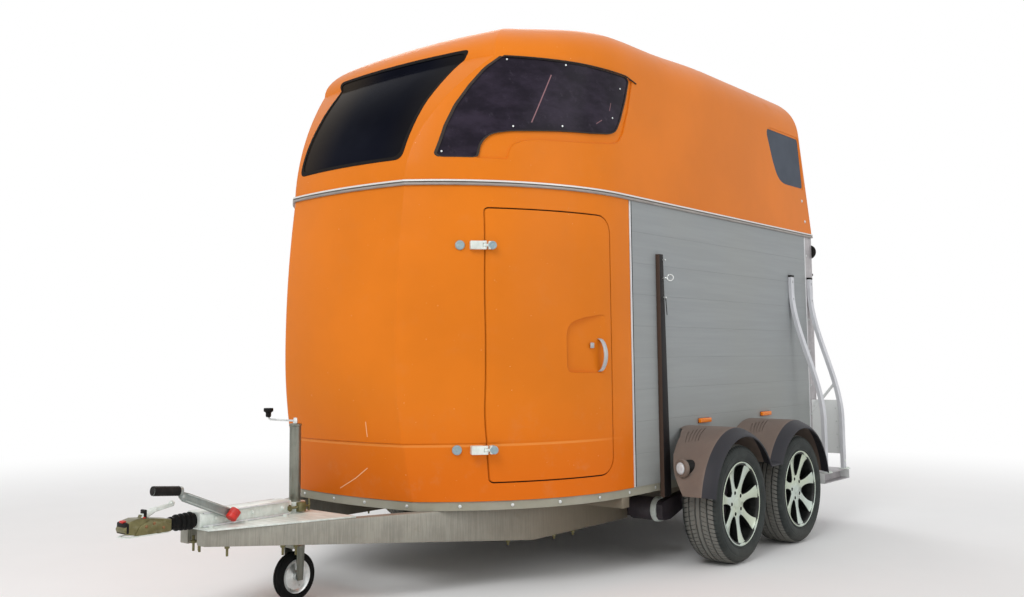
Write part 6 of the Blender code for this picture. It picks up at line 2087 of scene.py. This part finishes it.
class TRAILER_OT_windows(Step, bpy.types.Operator):
    """Windscreen, side windows and rear panels, with their trims and screws."""
    bl_idname = "trailer.windows"
    bl_label = "Windows"
    builders = (build_glass, build_window_trims)


class TRAILER_OT_belt(Step, bpy.types.Operator):
    """Belt rail round the body."""
    bl_idname = "trailer.belt"
    bl_label = "Belt rail"
    builders = (build_belt,)


class TRAILER_OT_sides(Step, bpy.types.Operator):
    """Plank walls, posts, guard rails and corner posts."""
    bl_idname = "trailer.sides"
    bl_label = "Sides"
    builders = (build_sides,)


class TRAILER_OT_wheels(Step, bpy.types.Operator):
    """Four tyres on seven-spoked rims."""
    bl_idname = "trailer.wheels"
    bl_label = "Wheels"
    builders = (build_wheels,)


class TRAILER_OT_mudguards(Step, bpy.types.Operator):
    """Twin-arch mudguards with louvres."""
    bl_idname = "trailer.mudguards"
    bl_label = "Mudguards"
    builders = (build_mudguards,)


class TRAILER_OT_lamps(Step, bpy.types.Operator):
    """Front, side, post and tail lamps."""
    bl_idname = "trailer.lamps"
    bl_label = "Lamps"
    builders = (build_lamps,)


class TRAILER_OT_chassis(Step, bpy.types.Operator):
    """Beams, cross members, platform, floor strip and axle sleeves."""
    bl_idname = "trailer.chassis"
    bl_label = "Chassis"
    builders = (build_plain, build_chassis)


class TRAILER_OT_coupling(Step, bpy.types.Operator):
    """Overrun housing, bellows, coupling head and brake lever."""
    bl_idname = "trailer.coupling"
    bl_label = "Coupling"
    builders = (build_coupling, build_lever)


class TRAILER_OT_jack(Step, bpy.types.Operator):
    """Jack with its crank, fork and jockey wheel."""
    bl_idname = "trailer.jack"
    bl_label = "Jack"
    builders = (build_jack,)


class TRAILER_OT_rear(Step, bpy.types.Operator):
    """Rear ramp and upper flap."""
    bl_idname = "trailer.rear"
    bl_label = "Rear"
    builders = (build_rear,)


OPERATORS = (TRAILER_OT_stage, TRAILER_OT_shells, TRAILER_OT_door, TRAILER_OT_windows, TRAILER_OT_belt,
             TRAILER_OT_sides, TRAILER_OT_wheels, TRAILER_OT_mudguards, TRAILER_OT_lamps,
             TRAILER_OT_chassis, TRAILER_OT_coupling, TRAILER_OT_jack, TRAILER_OT_rear)


class TRAILER_PT_panel(bpy.types.Panel):
    """Sizes, colours and steps of the trailer."""
    bl_idname = "TRAILER_PT_panel"
    bl_label = "Horse trailer"
    bl_space_type = "VIEW_3D"
    bl_region_type = "UI"
    bl_category = "Trailer"

    def draw(self, context):
        for group in (context.scene.trailer_colours, context.scene.trailer_sizes):
            for name in group.__annotations__:
                self.layout.prop(group, name)
        for operator in OPERATORS:
            self.layout.operator(operator.bl_idname)


CLASSES = (TrailerColours, TrailerSizes, *OPERATORS, TRAILER_PT_panel)


def register():
    for one in CLASSES:
        bpy.utils.register_class(one)
    bpy.types.Scene.trailer_colours = PointerProperty(type=TrailerColours)
    bpy.types.Scene.trailer_sizes = PointerProperty(type=TrailerSizes)


def unregister():
    del bpy.types.Scene.trailer_sizes
    del bpy.types.Scene.trailer_colours
    for one in reversed(CLASSES):
        bpy.utils.unregister_class(one)


def main():
    register()
    bpy.ops.trailer.stage()
    bpy.ops.trailer.shells()
    bpy.ops.trailer.door()
    bpy.ops.trailer.windows()
    bpy.ops.trailer.belt()
    bpy.ops.trailer.sides()
    bpy.ops.trailer.wheels()
    bpy.ops.trailer.mudguards()
    bpy.ops.trailer.lamps()
    bpy.ops.trailer.chassis()
    bpy.ops.trailer.coupling()
    bpy.ops.trailer.jack()
    bpy.ops.trailer.rear()


if __name__ == "__main__":
    main()
